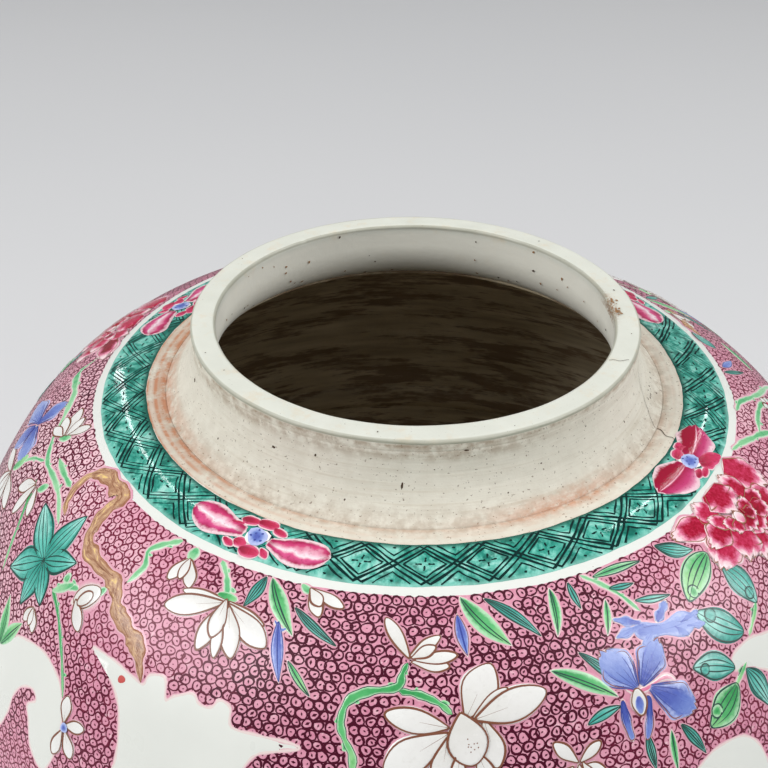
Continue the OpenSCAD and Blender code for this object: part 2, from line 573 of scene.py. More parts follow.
def lip_material():
    """The glazed lip and throat: cold white, pitted and slightly worn; the throat is painted lighter as
    painted light, and the lip's rounded edges are greyed as painted shade.
    """
    n = Nodes("lip_glaze", 0.2)
    colour = n.mix(n.noise(9, 3), (224, 225, 214), (208, 209, 197))
    warm = n.band(n.noise(6.5, 4, 0.7), 0.5, 0.76)
    colour = n.tint(colour, warm, 0.6, (216, 202, 176))
    speck = n.band(n.noise(0.6, 1, 0.5), 0.72, 0.77)
    worn = n.band(n.noise(8, 2), 0.36, 0.6)
    colour = n.tint(colour, n.times(speck, worn), 0.6, (126, 112, 96))
    _, level, grime, chip = n.paint()
    # The throat below the lip is painted lighter than the lip: painted light on the inner wall
    colour = n.tint(colour, n.band(level, 0.9975, 0.99), 0.8, (243, 240, 228))
    smear = n.noise(1.8, 3, 0.7, vector=n.place((0.25, 0.25, 1.0)))
    # Greyed by the grime value: smears down the inside, and painted shade on the lip's rounded edges
    smears_and_painted_edge_shade = n.times(grime, n.plus(n.times(smear, 0.6), 0.35))
    colour = n.mix(smears_and_painted_edge_shade, colour, (152, 150, 130))
    brown = n.band(n.noise(0.7, 3, 0.7), 0.4, 0.56)
    colour = n.mix(n.times(chip, brown), colour, (142, 98, 58))
    n.bump((n.noise(2.6, 3), 0.08), (n.noise(0.7, 2), 0.02))
    return n.finish(colour, n.band(n.noise(5, 3), -0.8, 2.0))


def inside_material():
    """The dark inside wall: thin brown wash over throwing rings, in colours painted lighter than the wash
    as painted light.
    """
    n = Nodes("inside_wash_painted_light", 0.55, 0.3)
    rings = n.noise(5.5, 3, 0.6, vector=n.place((0.12, 0.12, 1.0)))
    # Colours lighter than the wash itself: painted light inside the jar
    colour = n.ramp(rings, [(0.3, (170, 154, 128)), (0.5, (198, 184, 156)), (0.72, (220, 206, 180))])
    wide = n.noise(17, 5, 0.74, vector=n.place((0.3, 0.3, 1.6)))
    streaks = n.noise(3, 4, 0.7, vector=n.place((0.16, 0.16, 1.6)))
    blot = n.band(n.plus(wide, n.times(streaks, 0.45)), 0.7, 0.82)
    colour = n.tint(colour, blot, 0.7, (112, 80, 54))
    n.bump((rings, 0.3), (n.noise(1.6, 2), 0.1))
    return n.finish(colour, n.band(rings, -0.8, 1.4))


def branch_material():
    """Brown bark enamel with gilt highlights along the stroke."""
    n = Nodes("gilt_branch", 0.3)
    _, _, rim, _ = n.paint()
    bark = n.noise(1.0, 3, 0.7, vector=n.stroke_space(24.0, 3.4, 17.0), distortion=0.8)
    colour = n.ramp(
        bark,
        [(0.3, (122, 80, 54)), (0.44, (166, 120, 90)), (0.57, (200, 160, 126)), (0.68, (240, 206, 128))],
    )
    colour = n.mix(n.band(rim, 0.7, 1.0), colour, (156, 100, 72))
    n.bump((bark, 0.12))
    return n.finish(colour, n.band(bark, -0.4, 2.0))


# ---------------------------------------------------------------- brushes

def local_points(from_a, from_s, x, y):
    """Canvas coordinates of points x mm to the right of and y mm above a canvas point."""
    s = from_s - y
    return from_a + np.degrees(x / radius_at(s)), s


def flat_step(start, end):
    """Millimetres to the right and up from one canvas point to another."""
    middle = float(radius_at((start[1] + end[1]) / 2))
    return math.radians(end[0] - start[0]) * middle, start[1] - end[1]


def near(at, x, y):
    """The single canvas point x mm to the right of and y mm above another."""
    azimuth, s = local_points(*at, x, y)
    return float(azimuth), float(s)


def beside(azimuth, s, side):
    """Canvas points beside a path; side holds how far, in mm, for each point and column."""
    radius = radius_at(s)
    dx, dy = np.gradient(np.radians(azimuth) * radius), np.gradient(-s)
    norm = np.maximum(np.hypot(dx, dy), 1e-6)
    east = side * (dy / norm)[:, None]
    return azimuth[:, None] + np.degrees(east / radius[:, None]), s[:, None] + side * (dx / norm)[:, None]


# How wide each form of blade is on the way from its base (0) to its tip (1), as a share of its width
FORMS = {
    "leaf": lambda t: np.sin(math.pi * t**0.85) ** 0.85,
    "broad": lambda t: np.sin(math.pi * t**0.92) ** 0.64,
    "petal": lambda t: np.sin(math.pi * t**1.35) ** 0.6,
    "shell": lambda t: (0.5 + 0.5 * np.sin(math.pi * t / 1.3)) * np.sqrt(1 - 0.7 * t**5),
    "clover": lambda t: (0.16 + 0.9 * np.sin(math.pi * t / 1.5) ** 1.2) * np.sqrt(1 - 0.7 * t**5),
    "oval": lambda t: np.sqrt(np.clip(1 - (2 * t - 1) ** 2, 0, 1)),
    "strap": lambda t: np.sqrt(np.clip(1 - np.abs(2 * t - 1) ** 6, 0, 1)) * (0.75 + 0.25 * t),
    "long": lambda t: (0.34 + 0.66 * np.sin(math.pi * t**1.1 / 1.5)) * np.sqrt(1 - t**7),
}

BUSY_STEP_A, BUSY_STEP_S = 0.2, 0.4


class Painting:
    """The layers of paint, the places already painted, and the hand's seeded unevenness."""

    def __init__(self, seed):
        self.layers = {}
        self.random = random.Random(seed)
        shape = (round(360 / BUSY_STEP_A), round(S_FOOT / BUSY_STEP_S) + 1)
        self.busy = np.zeros(shape, bool)

    def layer(self, name):
        """The layer of a paint, made at its first use."""
        return self.layers.setdefault(name, Layer())

    def cells(self, azimuth, s):
        """The cells of the busy map that hold the given canvas points."""
        i = np.floor(np.asarray(azimuth) / BUSY_STEP_A).astype(int) % self.busy.shape[0]
        j = np.clip((np.asarray(s) / BUSY_STEP_S).astype(int), 0, self.busy.shape[1] - 1)
        return i, j

    def mark(self, azimuth, s):
        """Notes the ground that a shape covers."""
        self.busy[self.cells(azimuth, s)] = True

    def is_busy(self, azimuth, s):
        """Whether a shape already covers a point."""
        return self.busy[self.cells(azimuth, s)]

    def mark_patch(self, azimuth, s):
        """Marks a patch as painted, with its gaps filled by points between its own."""
        for p in np.linspace(0, 1, 4):
            for q in np.linspace(0, 1, 4):
                mixed = []
                for grid in (azimuth, s):
                    rows = grid[:-1] * (1 - p) + grid[1:] * p
                    mixed.append(rows[:, :-1] * (1 - q) + rows[:, 1:] * q)
                self.mark(*mixed)

    def edge_line(self, azimuth, s, height, colour, width):
        """An outline just inside a blade's edge, drawn as one brush line from base round to base."""
        inset = 0.06
        sides = []
        for grid in (azimuth, s):
            left = grid[:, 0] * (1 - inset) + grid[:, -1] * inset
            right = grid[:, -1] * (1 - inset) + grid[:, 0] * inset
            sides.append((left[:-1], grid[-1, 1:-1], right[::-1][1:]))
        if sum(np.ptp(tip) for _, tip, _ in sides) < 0.3:
            sides = [(left, tip[:1], right) for left, tip, right in sides]
        self.line(colour, *map(np.concatenate, sides), width, height, uneven=0.3)

    def line(self, colour, azimuth, s, width, height, taper=False, uneven=0.2, crown=0.03):
        """A thin line of paint through canvas points."""
        azimuth, s = np.asarray(azimuth, float), np.asarray(s, float)
        t = np.linspace(0, 1, len(azimuth))
        half = np.full(len(t), width / 2)
        if taper:
            half = half * np.clip(4 * t * (1 - t), 0.12, 1) ** 0.5
        half = half * (1 + uneven * np.sin(t * 7 + self.random.uniform(0, 6)))
        u = np.array([-1.0, 0.0, 1.0])
        a2, s2 = beside(azimuth, s, half[:, None] * u)
        lift = height + crown * (0.5 - u**2) + 0 * a2
        self.layer(colour).patch(a2, s2, lift, t[:, None], u / 2 + 0.5, 0.5, 0.5)

    def dot(self, paint, at, radius, height, squash=1.0, rough=0.12, crown=0.03):
        """A small round touch of paint with an uneven edge."""
        phase = self.random.uniform(0, 6)
        shares = (0.0, 0.72, 1.0)
        x, y, faces = ragged_disc(12, shares, (rough, 2, phase), (rough * 0.6, 3, 2 * phase))
        azimuth, s = local_points(*at, radius * x, squash * radius * y)
        share = np.array(shares)[:, None] + 0 * azimuth
        lift = height + crown * (1 - share**2)
        parts = np.broadcast_arrays(share, 0.5, share, 0.5)
        self.layer(paint).add(on_canvas(azimuth, s, lift), faces, np.stack(parts, -1))


class Pen:
    """Draws a measured group of shapes: at its own spot, or as a copy turned and moved."""

    def __init__(self, painting, source=None, target=None, turn=0.0, flip=False, scale=1.0):
        self.painting, self.random = painting, painting.random
        self.line, self.dot = painting.line, painting.dot
        self.source, self.target, self.flip, self.scale = source, target, flip, scale
        self.turn = math.radians(turn)
        self.is_copy = target is not None

    def put(self, point):
        """Where a measured point lands."""
        if not self.is_copy:
            return point
        x, y = flat_step(self.source, point)
        x = -x if self.flip else x
        c, s = math.cos(self.turn) * self.scale, math.sin(self.turn) * self.scale
        return near(self.target, x * c + y * s, y * c - x * s)

    # A blade is any brushed shape with a base, a tip and a width

    def blade_grid(self, base, tip, width, form, bend, ruffle, steps, margin, phase, lobes):
        """Canvas points of a blade, with their way along it and across it."""
        x, y = flat_step(base, tip)
        length, heading = math.hypot(x, y), math.atan2(x, y)
        rows, columns = steps
        reach = margin / max(length, 0.1)
        t = np.linspace(-reach, 1 + reach, rows)
        t = t if margin else 0.5 - 0.5 * np.cos(np.linspace(0, math.pi, rows))
        u = np.sin(np.linspace(-1, 1, columns) * math.pi / 2)
        inside = np.clip(t, 0, 1)
        half = np.maximum(FORMS[form](inside), 0) * width / 2
        half = half * (1 - 0.1 * math.sin(phase) * np.sin(6 * inside + phase))
        if margin:
            over = np.abs(t - inside) * length
            half = (half + margin) * np.sqrt(np.clip(1 - (over / margin) ** 2, 0, 1))
        sag = length * math.radians(bend) / 2
        slope = np.arctan2(2 * sag * (1 - 2 * t), length)[:, None]
        waves = 1 + ruffle * np.sin(9.5 * inside + phase * 3)[:, None] * np.abs(u)
        side = half[:, None] * u * waves
        rounding = 0.24 * u**2 if form in ("shell", "clover") else 0
        end_shape = lobes * (2 * np.abs(np.cos(1.5 * math.pi * u + 0.5 * math.sin(phase))) - 1) - rounding
        closing = np.clip(half / (0.3 * max(float(half.max()), 1e-6)), 0, 1)
        scallop = width * (inside**2 * closing)[:, None] * end_shape
        px = (2 * sag * t * (1 - t))[:, None] + side * np.cos(slope)
        py = (t * length)[:, None] + scallop - side * np.sin(slope)
        east = px * math.cos(heading) + py * math.sin(heading)
        north = py * math.cos(heading) - px * math.sin(heading)
        return (*local_points(*base, east, north), t, u)

    def blade(self, paint, base, tip, width, form="petal", bend=0, ruffle=0.0, tier=0, halo=0.42,
              edge=None, rib=None, base_h=0.0, crown=0.05, lobes=0.0, mirror=False, halo_paint="halo"):
        """Paints a blade with its pale halo, its outline and a middle line."""
        painting = self.painting
        bend = -bend if self.flip else bend
        phase = self.random.uniform(0, 6)
        shape = (self.put(base), self.put(tip), width * self.scale, form, bend, ruffle)
        if halo:
            steps = (11, 5) if self.is_copy else (20, 9)
            azimuth, s, t, u = self.blade_grid(*shape, steps, halo, phase, lobes)
            rim = np.abs(u) + 0 * azimuth
            lift = base_h + HALO_LOW + (HALO_H - HALO_LOW) * (1 - rim**4)
            painting.layer(halo_paint).patch(azimuth, s, lift, t[:, None], u / 2 + 0.5, rim, 0.5)
            painting.mark_patch(azimuth, s)
        steps = (10, 5) if self.is_copy else (18, 17 if lobes else 9)
        azimuth, s, t, u = self.blade_grid(*shape, steps, 0.0, phase, lobes)
        ends = np.clip(1 - 4 * t * (1 - t), 0, 1)[:, None] ** 3
        rim = np.maximum(np.abs(u), ends)
        low = base_h + HALO_H - 0.02
        high = base_h + (LEAF_H if form in ("leaf", "broad") else PETAL_H) + TIER_H * tier
        lift = low + (high - low) * np.sqrt(np.clip(1 - rim**6, 0, 1)) + crown * (1 - rim**2)
        across = u * (-0.5 if mirror else 0.5) + 0.5
        painting.layer(paint).patch(azimuth, s, lift, t[:, None], across, rim, self.random.random())
        if edge:
            painting.edge_line(azimuth, s, high + 0.02, *edge)
        if rib:
            middle = len(u) // 2
            self.line(rib, azimuth[1:-1, middle], s[1:-1, middle], 0.38, high + crown + 0.02, taper=True)
        return azimuth, s, high + crown

    def stroke(self, paint, points, widths, height=STEM_H, halo=0.6, crown=0.08, edge=None):
        """A stem or branch through measured points, whose width changes along it."""
        azimuth, s = smooth_path([self.put(p) for p in points], 3 if self.is_copy else 5)
        t = np.linspace(0, 1, len(azimuth))
        half = np.interp(t, np.linspace(0, 1, len(widths)), widths) / 2 * self.scale
        half = half * (1 if paint == "branch" else 0.84)
        turn = self.random.uniform(0, 6)
        wander = 1 + 0.20 * np.sin(t * 3.1 * len(points) + turn)
        half = half * (wander + 0.14 * np.sin(t * 6.7 * len(points) + 2 * turn))
        tone = self.random.random()
        u = np.sin(np.linspace(-1, 1, 7) * math.pi / 2)
        caps = np.sqrt(np.clip(1 - (2 * t - 1) ** 16, 0, 1))
        passes = [("halo", half + halo, HALO_LOW, HALO_H - HALO_LOW)] if halo else []
        passes.append((paint, half, HALO_H - 0.01, height - HALO_H + crown))
        for name, spread, low, rise in passes:
            a2, s2 = beside(azimuth, s, (spread * caps)[:, None] * u)
            rim = np.abs(u) + 0 * a2
            lift = low + rise * np.sqrt(np.clip(1 - rim**4, 0, 1))
            self.painting.layer(name).patch(a2, s2, lift, t[:, None], u / 2 + 0.5, rim, tone)
            if name == "halo":
                self.painting.mark_patch(a2, s2)
        if paint in ("light_green", "green"):
            self.nubs(paint, a2, s2, min(1, max(widths) / 2), height, not edge)
        if edge:
            for column in (0, -1):
                self.line(edge, a2[:, column], s2[:, column], 0.22, low + 0.05)

    def nubs(self, paint, azimuth, s, size, height, inked):
        """Small swellings along a green stem's edges."""
        for i in range(4, len(azimuth) - 4, 7):
            side = self.random.choice((0, -1))
            radius = self.random.uniform(0.6, 1.1) * self.scale * size
            at = (float(azimuth[i, side]), float(s[i, side]))
            self.dot(paint, at, radius, height - 0.02, 0.8, 0.3)
            if paint == "green" and inked and not self.is_copy:
                part = slice(i - 2, i + 3)
                self.line("leaf_ink", azimuth[part, side], s[part, side], 0.34, height + 0.1, taper=True)


def smooth_path(points, between):
    """Canvas points along a smooth curve through the given ones."""
    p = np.array(points, float)
    p = np.vstack([2 * p[0] - p[1], p, 2 * p[-1] - p[-2]])
    out = []
    for i in range(1, len(p) - 2):
        t = np.linspace(0, 1, between, endpoint=False)[:, None]
        a, b, c, d = p[i - 1], p[i], p[i + 1], p[i + 2]
        curve = 2 * b + (c - a) * t + (2 * a - 5 * b + 4 * c - d) * t**2 + (3 * b - a - 3 * c + d) * t**3
        out.append(curve / 2)
    out = np.vstack([*out, p[-2:-1]])
    return out[:, 0], out[:, 1]


# ---------------------------------------------------------------- plants

def leaf(pen, paint, base, tip, width, bend=6, veins=2, halo=0.42, ink=0.36):
    """A plain leaf with a midrib and long side veins; green ones are left without an outline."""
    edge = None if paint == "green" else ("leaf_ink", ink)
    azimuth, s, top = pen.blade(paint, base, tip, width, "leaf", bend, halo=halo, edge=edge,
                                rib="leaf_ink")
    long_veins(pen, azimuth, s, top, min(veins, 1) if edge is None else veins)


def long_veins(pen, azimuth, s, top, veins):
    """Veins that run along a leaf on both sides of its midrib."""
    rows, columns = azimuth.shape
    middle = columns // 2
    first = round(rows * 0.12)
    for k in range(veins):
        side = middle + (-1) ** k * (1 + k // 2)
        if not 0 < side < columns - 1:
            continue
        last = round(rows * (0.82 - 0.14 * (k // 2) - 0.1 * pen.random.random()))
        rise = 0.05 * ((side - middle) / middle) ** 2
        part = (slice(first, last), side)
        pen.line("leaf_ink", azimuth[part], s[part], 0.34, top + 0.01 - rise, taper=True)


def curled_leaf(pen, paint, base, tip, width, curl, bend):
    """A broad leaf whose tip turns over in a small curl."""
    ink = ("leaf_ink", 0.42)
    azimuth, s, top = pen.blade(paint, base, tip, width, "broad", bend, edge=ink, rib="leaf_ink")
    long_veins(pen, azimuth, s, top, 2)
    centre = pen.put(curl)
    turns = np.linspace(0, 1.8 * math.pi, 14)
    size = width * pen.scale * 0.22
    reach = size * (1 - 0.18 * turns / turns[-1])
    azimuth, s = local_points(*centre, reach * np.cos(turns), reach * np.sin(turns))
    pen.line("leaf_ink", azimuth, s, 0.34, LEAF_H + 0.12)
    pen.dot(paint, centre, size * 0.92, LEAF_H + 0.06, crown=0.01)


def white_petal(pen, base, tip, width, form="petal", tier=0, lines=0):
    """A petal of thick white enamel with a brown outline and fine lines from its base."""
    azimuth, s, top = pen.blade("white", base, tip, width, form, tier=tier, halo=0.35,
                                edge=("brown_ink", 0.46), crown=0.04)
    rows, columns = azimuth.shape
    for k in range(lines):
        column = round((columns - 1) * (k + 1) / (lines + 1))
        part = slice(1, max(4, rows // 2))
        pen.line("brown_ink", azimuth[part, column], s[part, column], 0.16, top, taper=True)


def white_flower(pen, petals):
    """White petals given as (base, tip, width, tier), each laid over the one before it."""
    for k, (base, tip, width, tier) in enumerate(sorted(petals, key=lambda petal: petal[3])):
        white_petal(pen, base, tip, width, tier=0.65 * k, lines=1 if width > 4 else 0)


def blossom(pen, at, size, centre):
    """A small open flower of five petals, seen a little from the side."""
    for k in range(5):
        angle = 2 * math.pi * k / 5
        x, y = size * math.cos(angle), size * 0.8 * math.sin(angle)
        white_petal(pen, near(at, x * 0.16, y * 0.16), near(at, x, y), size * 0.78, tier=k % 2)
    pen.dot(centre, pen.put(at), size * 0.22 * pen.scale, PETAL_H + 0.2, crown=0.08)


def peony_petal(pen, base, tip, width, tier):
    """A ruby petal that pales towards its scalloped edge."""
    ink = ("gold_ink", 0.3)
    pen.blade("peony", base, tip, width, "shell", 0, 0.05, tier, 0.6, edge=ink, lobes=0.09)


def blue_petal(pen, base, tip, width, form="clover", bend=0, ruffle=0.06):
    """A ragged blue petal with darker strokes from its base."""
    azimuth, s, top = pen.blade("blue", base, tip, width, form, bend, ruffle, halo=0.5,
                                edge=("rose_ink", 0.26), lobes=0.07)
    rows, columns = azimuth.shape
    for column in range(1, columns - 1, 2):
        part = slice(1, max(4, rows // 2 + column % 3))
        pen.line("blue_ink", azimuth[part, column], s[part, column], 0.28, top, taper=True)


# The groups seen in the photograph. Points are (azimuth, s) on the canvas.

def hanging_buds(pen):
    """A bud, a fan-shaped magnolia and the leaves round them, hanging from the border."""
    pen.stroke("light_green", [(-36.5, 17), (-38.5, 20), (-40.2, 24), (-39, 28), (-39.8, 34)],
               [2.2, 2.6, 1.8, 2.6, 1.6])
    pen.blade("light_green", (-33.6, 16.8), (-33.4, 21), 3.2, "oval", edge=None)
    white_flower(pen, [
        ((-33.6, 20.4), (-34.6, 27.6), 3.8, 0),
        ((-33.2, 20.4), (-30.8, 27.2), 3.8, 0),
        ((-33.4, 20.2), (-33.0, 26.2), 3.0, 1),
    ])
    pen.stroke("light_green", [(-28.8, 17), (-27, 20), (-25.8, 23), (-25.2, 25.5)],
               [1.6, 1.8, 2.2, 4.0])
    pen.blade("green", (-26.6, 25.6), (-23.6, 25.4), 2.6, "oval", edge=None, halo=0.5)
    white_flower(pen, [
        ((-24.8, 26.4), (-31.6, 28.2), 3.0, 0),
        ((-24.6, 26.4), (-18.6, 29.6), 2.6, 0),
        ((-25.0, 27.0), (-33.0, 33.6), 6.0, 1),
        ((-24.4, 27.0), (-17.4, 34.6), 6.2, 1),
        ((-25.0, 27.4), (-26.0, 40.2), 5.0, 1),
        ((-24.2, 27.4), (-21.2, 39.4), 5.6, 1),
        ((-24.6, 30.0), (-23.4, 40.6), 3.2, 1),
        ((-24.9, 26.0), (-24.7, 36.2), 4.8, 2),
    ])
    leaf(pen, "teal", (-21.1, 17.2), (-22.4, 26.2), 3.2, bend=-8)
    leaf(pen, "green", (-20.2, 17.0), (-14.4, 30.2), 4.2, bend=6)
    leaf(pen, "teal", (-15.4, 23.2), (-8.8, 30.8), 2.4, bend=6)
    pen.blade("blue", (-17.0, 27.6), (-14.8, 41.6), 3.0, "leaf", 4, edge=("blue_ink", 0.24),
              rib="blue_ink")
    pen.stroke("blue", [(-17.6, 27.4), (-16.4, 29.4), (-15.6, 28.6)], [0.8, 1.0, 0.8])
    pen.blade("green", (-14.4, 36.4), (-11.0, 43.4), 1.9, "leaf", 4, edge=("leaf_ink", 0.24),
              rib="leaf_ink")
    pen.blade("light_green", (-15.6, 16.8), (-14.0, 18.8), 2.0, "oval", edge=None)
    white_flower(pen, [
        ((-14.2, 17.6), (-11.8, 24.4), 3.6, 0),
        ((-14.0, 17.4), (-8.8, 21.2), 3.2, 0),
        ((-14.2, 17.4), (-12.0, 21.6), 3.4, 1),
    ])


def gilt_branch(pen):
    """The looped brown branch, with buds and a thin stem that ends in a small blossom."""
    path = [
        (-57.4, 33.6), (-59.4, 31), (-60.8, 26), (-60.6, 20.6), (-58.4, 17.8), (-54.6, 17.6),
        (-52.2, 19), (-51.8, 24), (-51.2, 29), (-49.6, 33), (-46.4, 34.8), (-42.4, 35.4),
        (-40.4, 37.6), (-38.8, 40.8), (-36.4, 43.2), (-34.2, 45.2), (-32.8, 48.4), (-31.4, 53.4),
    ]
    widths = [1.4, 3.4, 3.8, 3.6, 4.6, 5.6, 6.0, 5.8, 4.6, 4.4, 4.2, 4.4, 4.2, 4.0, 4.4, 5.0, 4.2, 1.6]
    pen.stroke("branch", path, widths, height=0.22, halo=0.7, crown=0.14)
    pen.stroke("light_green", [(-49.6, 49.4), (-49, 46.6), (-47.4, 44.2), (-46, 43.2)],
               [1.2, 2.0, 2.4, 1.4])
    pen.dot("light_green", pen.put((-48.8, 43.4)), 1.5 * pen.scale, STEM_H)
    pen.dot("light_green", pen.put((-42.4, 39.4)), 1.3 * pen.scale, STEM_H)
    pen.blade("white", (-45.6, 46.5), (-42.6, 39.6), 6.6, "oval", halo=1.4,
              edge=("brown_ink", 0.34), crown=0.09)
    white_petal(pen, (-45.4, 45.6), (-42.6, 51.8), 4.4, tier=1.5)
    white_petal(pen, (-44.8, 46.2), (-43.4, 41.4), 3.8, "oval", tier=2.2)
    pen.stroke("green", [(-50.2, 48.4), (-47.6, 51.4), (-45.4, 55.6), (-43.4, 61), (-42, 66),
                         (-41.2, 69.4)], [1.6, 1.4, 1.2, 1.2, 1.0, 0.8], edge="leaf_ink")
    white_flower(pen, [
        ((-39.9, 75.0), (-40.4, 67.8), 4.2, 0),
        ((-39.6, 75.2), (-36.8, 72.6), 3.8, 0),
        ((-39.4, 76.6), (-37.6, 82.4), 4.4, 0),
        ((-39.8, 77.0), (-40.4, 84.8), 4.0, 0),
    ])
    pen.dot("blue", pen.put((-39.6, 75.9)), 1.25 * pen.scale, PETAL_H + 0.22, 1.2, crown=0.1)


def great_magnolia(pen):
    """The large white magnolia in front, its branch, and the bud above it."""
    pen.stroke("green", [(0.0, 33.4), (-0.6, 36), (-1.2, 39.2), (-4.4, 40.6), (-6.6, 43.2), (-7.2, 48),
                         (-6.6, 52), (-5.6, 56), (-5.6, 62)],
               [1.4, 2.0, 2.2, 2.6, 2.4, 2.0, 1.8, 2.0, 1.6], edge="leaf_ink")
    pen.stroke("green", [(-1.0, 40.0), (1.4, 40.8), (3.6, 42.8), (5.0, 45.4)], [2.0, 2.0, 1.8, 1.4],
               edge="leaf_ink")
    white_flower(pen, [
        ((0.2, 32.4), (-2.9, 22.6), 3.8, 0),
        ((0.2, 32.0), (4.0, 27.0), 3.2, 0),
        ((0.4, 33.2), (5.0, 34.4), 3.4, 0),
        ((0.8, 32.8), (6.0, 31.8), 3.4, 0),
        ((0.4, 32.4), (3.4, 29.6), 3.0, 1),
    ])
    big = [
        ((6.4, 46.8), (9.8, 34.4), 9.2, 0),
        ((7.2, 46.6), (11.4, 40.4), 3.6, 0),
        ((7.4, 46.8), (15.8, 42.4), 8.4, 1),
        ((8.4, 46.8), (9.6, 58.6), 6.4, 0),
        ((4.6, 48.4), (-2.4, 45.4), 6.4, 0),
        ((4.6, 49.6), (-2.4, 58.6), 8.8, 0),
        ((4.4, 50.6), (3.4, 62.6), 6.0, 0),
        ((7.4, 54.0), (9.0, 63.4), 4.4, 1),
        ((5.6, 54.0), (5.2, 63.6), 4.4, 1),
    ]
    white_flower(pen, big)
    white_petal(pen, (5.9, 45.0), (7.0, 57.4), 11.0, "petal", tier=6.5)
    tip = pen.put((7.1, 52.6))
    for _ in range(9):
        spot = near(tip, pen.random.uniform(-1.3, 1.3), pen.random.uniform(-1.6, 1.6))
        pen.dot("brown_ink", spot, 0.16, PETAL_H + 0.52, crown=0.01)
    white_flower(pen, [
        ((18.2, 60.6), (15.8, 54.8), 3.6, 0),
        ((18.4, 60.6), (21.0, 57.0), 3.2, 0),
        ((18.4, 61.6), (21.0, 63.8), 3.0, 0),
        ((18.2, 61.0), (18.2, 68.0), 3.6, 1),
        ((17.6, 61.2), (14.8, 65.6), 3.4, 0),
        ((18.6, 60.6), (19.6, 66.0), 2.6, 1),
    ])


def hanging_leaves(pen):
    """Leaves of three colours that hang from the border, with an arching stem."""
    pen.blade("blue", (6.5, 21.8), (7.3, 32.0), 3.2, "leaf", 3, edge=("rose_ink", 0.24),
              rib="blue_ink")
    leaf(pen, "green", (7.2, 17.2), (13.2, 30.6), 5.0, bend=10, veins=4)
    leaf(pen, "teal", (10.6, 18.2), (17.2, 29.6), 2.8, bend=-8)
    leaf(pen, "green", (20.2, 18.4), (19.0, 30.4), 2.8, bend=-10)
    leaf(pen, "teal", (23.2, 18.2), (23.4, 25.4), 1.8, bend=6, veins=0)
    pen.stroke("light_green", [(25.4, 17), (27.6, 20.6), (29.4, 24.6), (31.2, 31)],
               [1.2, 1.6, 1.4, 1.2])
    leaf(pen, "light_green", (27.2, 18.6), (35.4, 19.4), 2.6, bend=-6, veins=0)
    leaf(pen, "teal", (28.6, 22.8), (32.4, 23.8), 1.8, bend=6, veins=0)
    leaf(pen, "teal", (31.2, 28.0), (36.4, 30.4), 2.0, bend=6, veins=0)
    leaf(pen, "green", (27.2, 25.2), (25.4, 33.4), 1.9, bend=-6, veins=0)
    for base, tip, width, form, bend in (
        ((30.4, 33.6), (27.0, 30.4), 2.4, "shell", 0), ((30.8, 34.4), (26.4, 34.8), 2.2, "shell", 6),
        ((29.0, 34.8), (38.4, 38.6), 5.2, "strap", 8), ((32.6, 34.8), (35.2, 31.4), 2.8, "shell", 0),
        ((31.6, 36.2), (29.4, 38.8), 2.6, "shell", 0), ((34.4, 37.2), (36.0, 41.2), 3.0, "shell", 0),
        ((35.2, 37.6), (38.9, 37.2), 2.4, "shell", 4), ((36.0, 38.8), (39.0, 40.8), 2.0, "shell", 0),
    ):
        pen.blade("blue", base, tip, width, form, bend, 0.3, 0.3, 0.5, lobes=0.1)
    pen.line("blue_ink", *np.transpose([pen.put((30.4, 34.8)), pen.put((36.8, 38.0))]), 0.3,
             PETAL_H + 0.16, taper=True)


def iris(pen):
    """The blue iris with its leaves."""
    leaf(pen, "teal", (21.0, 35.6), (25.4, 46.4), 2.6, bend=-6)
    leaf(pen, "green", (17.0, 38.2), (24.4, 48.0), 4.0, bend=-8)
    leaf(pen, "teal", (20.0, 52.4), (24.2, 50.4), 2.8, bend=-10, veins=0)
    leaf(pen, "teal", (26.6, 59.0), (26.8, 68.4), 2.4, bend=4)
    leaf(pen, "green", (29.6, 60.6), (29.3, 71.0), 2.0, bend=4, veins=0)
    leaf(pen, "teal", (31.0, 60.4), (33.2, 70.0), 2.8, bend=-6)
    blue_petal(pen, (26.8, 47.6), (23.8, 37.0), 10.4)
    blue_petal(pen, (27.4, 47.4), (31.4, 38.8), 8.8)
    blue_petal(pen, (28.4, 48.6), (33.4, 58.2), 9.6)
    pen.stroke("pale_pink", [(25.2, 46.6), (27.2, 48.6), (30.6, 47.8), (32.0, 50.0)], [1.0, 1.6, 1.4, 0.8])
    blue_petal(pen, (24.6, 49.2), (24.8, 59.2), 2.4, "strap", 10, ruffle=0.2)
    blue_petal(pen, (27.8, 50.2), (26.4, 60.4), 2.2, "strap", -12, ruffle=0.2)
    white_petal(pen, (26.6, 47.6), (26.5, 54.2), 4.4, "oval", tier=1)
    pen.blade("blue", (26.6, 49.4), (26.4, 53.8), 2.8, "oval", tier=2, halo=0, edge=None)


def curled_leaves(pen):
    """Broad leaves with turned tips, beside the peony."""
    curled_leaf(pen, "green", (46.0, 26.8), (38.3, 34.2), 8.4, (39.9, 32.8), bend=14)
    leaf(pen, "teal", (39.4, 17.8), (44.6, 24.0), 4.4, bend=14, veins=4)
    curled_leaf(pen, "teal", (46.6, 32.0), (48.2, 45.0), 8.0, (47.9, 41.8), bend=-12)
    curled_leaf(pen, "teal", (43.9, 48.4), (38.8, 37.4), 9.0, (40.2, 40.0), bend=-14)
    curled_leaf(pen, "teal", (40.4, 54.8), (34.8, 49.0), 7.2, (36.2, 50.8), bend=12)
    pen.stroke("green", [(42.4, 55.4), (41, 57.2), (39.4, 59.4)], [1.2, 1.6, 2.0])
    curled_leaf(pen, "green", (40.0, 58.6), (34.6, 64.6), 8.8, (36.0, 61.8), bend=-10)
    leaf(pen, "teal", (42.0, 56.8), (43.8, 70.0), 6.2, bend=-10, veins=4)
    pen.stroke("green", [(48.2, 44.4), (46.8, 46.8), (44.4, 50.4)], [1.2, 1.8, 1.0])


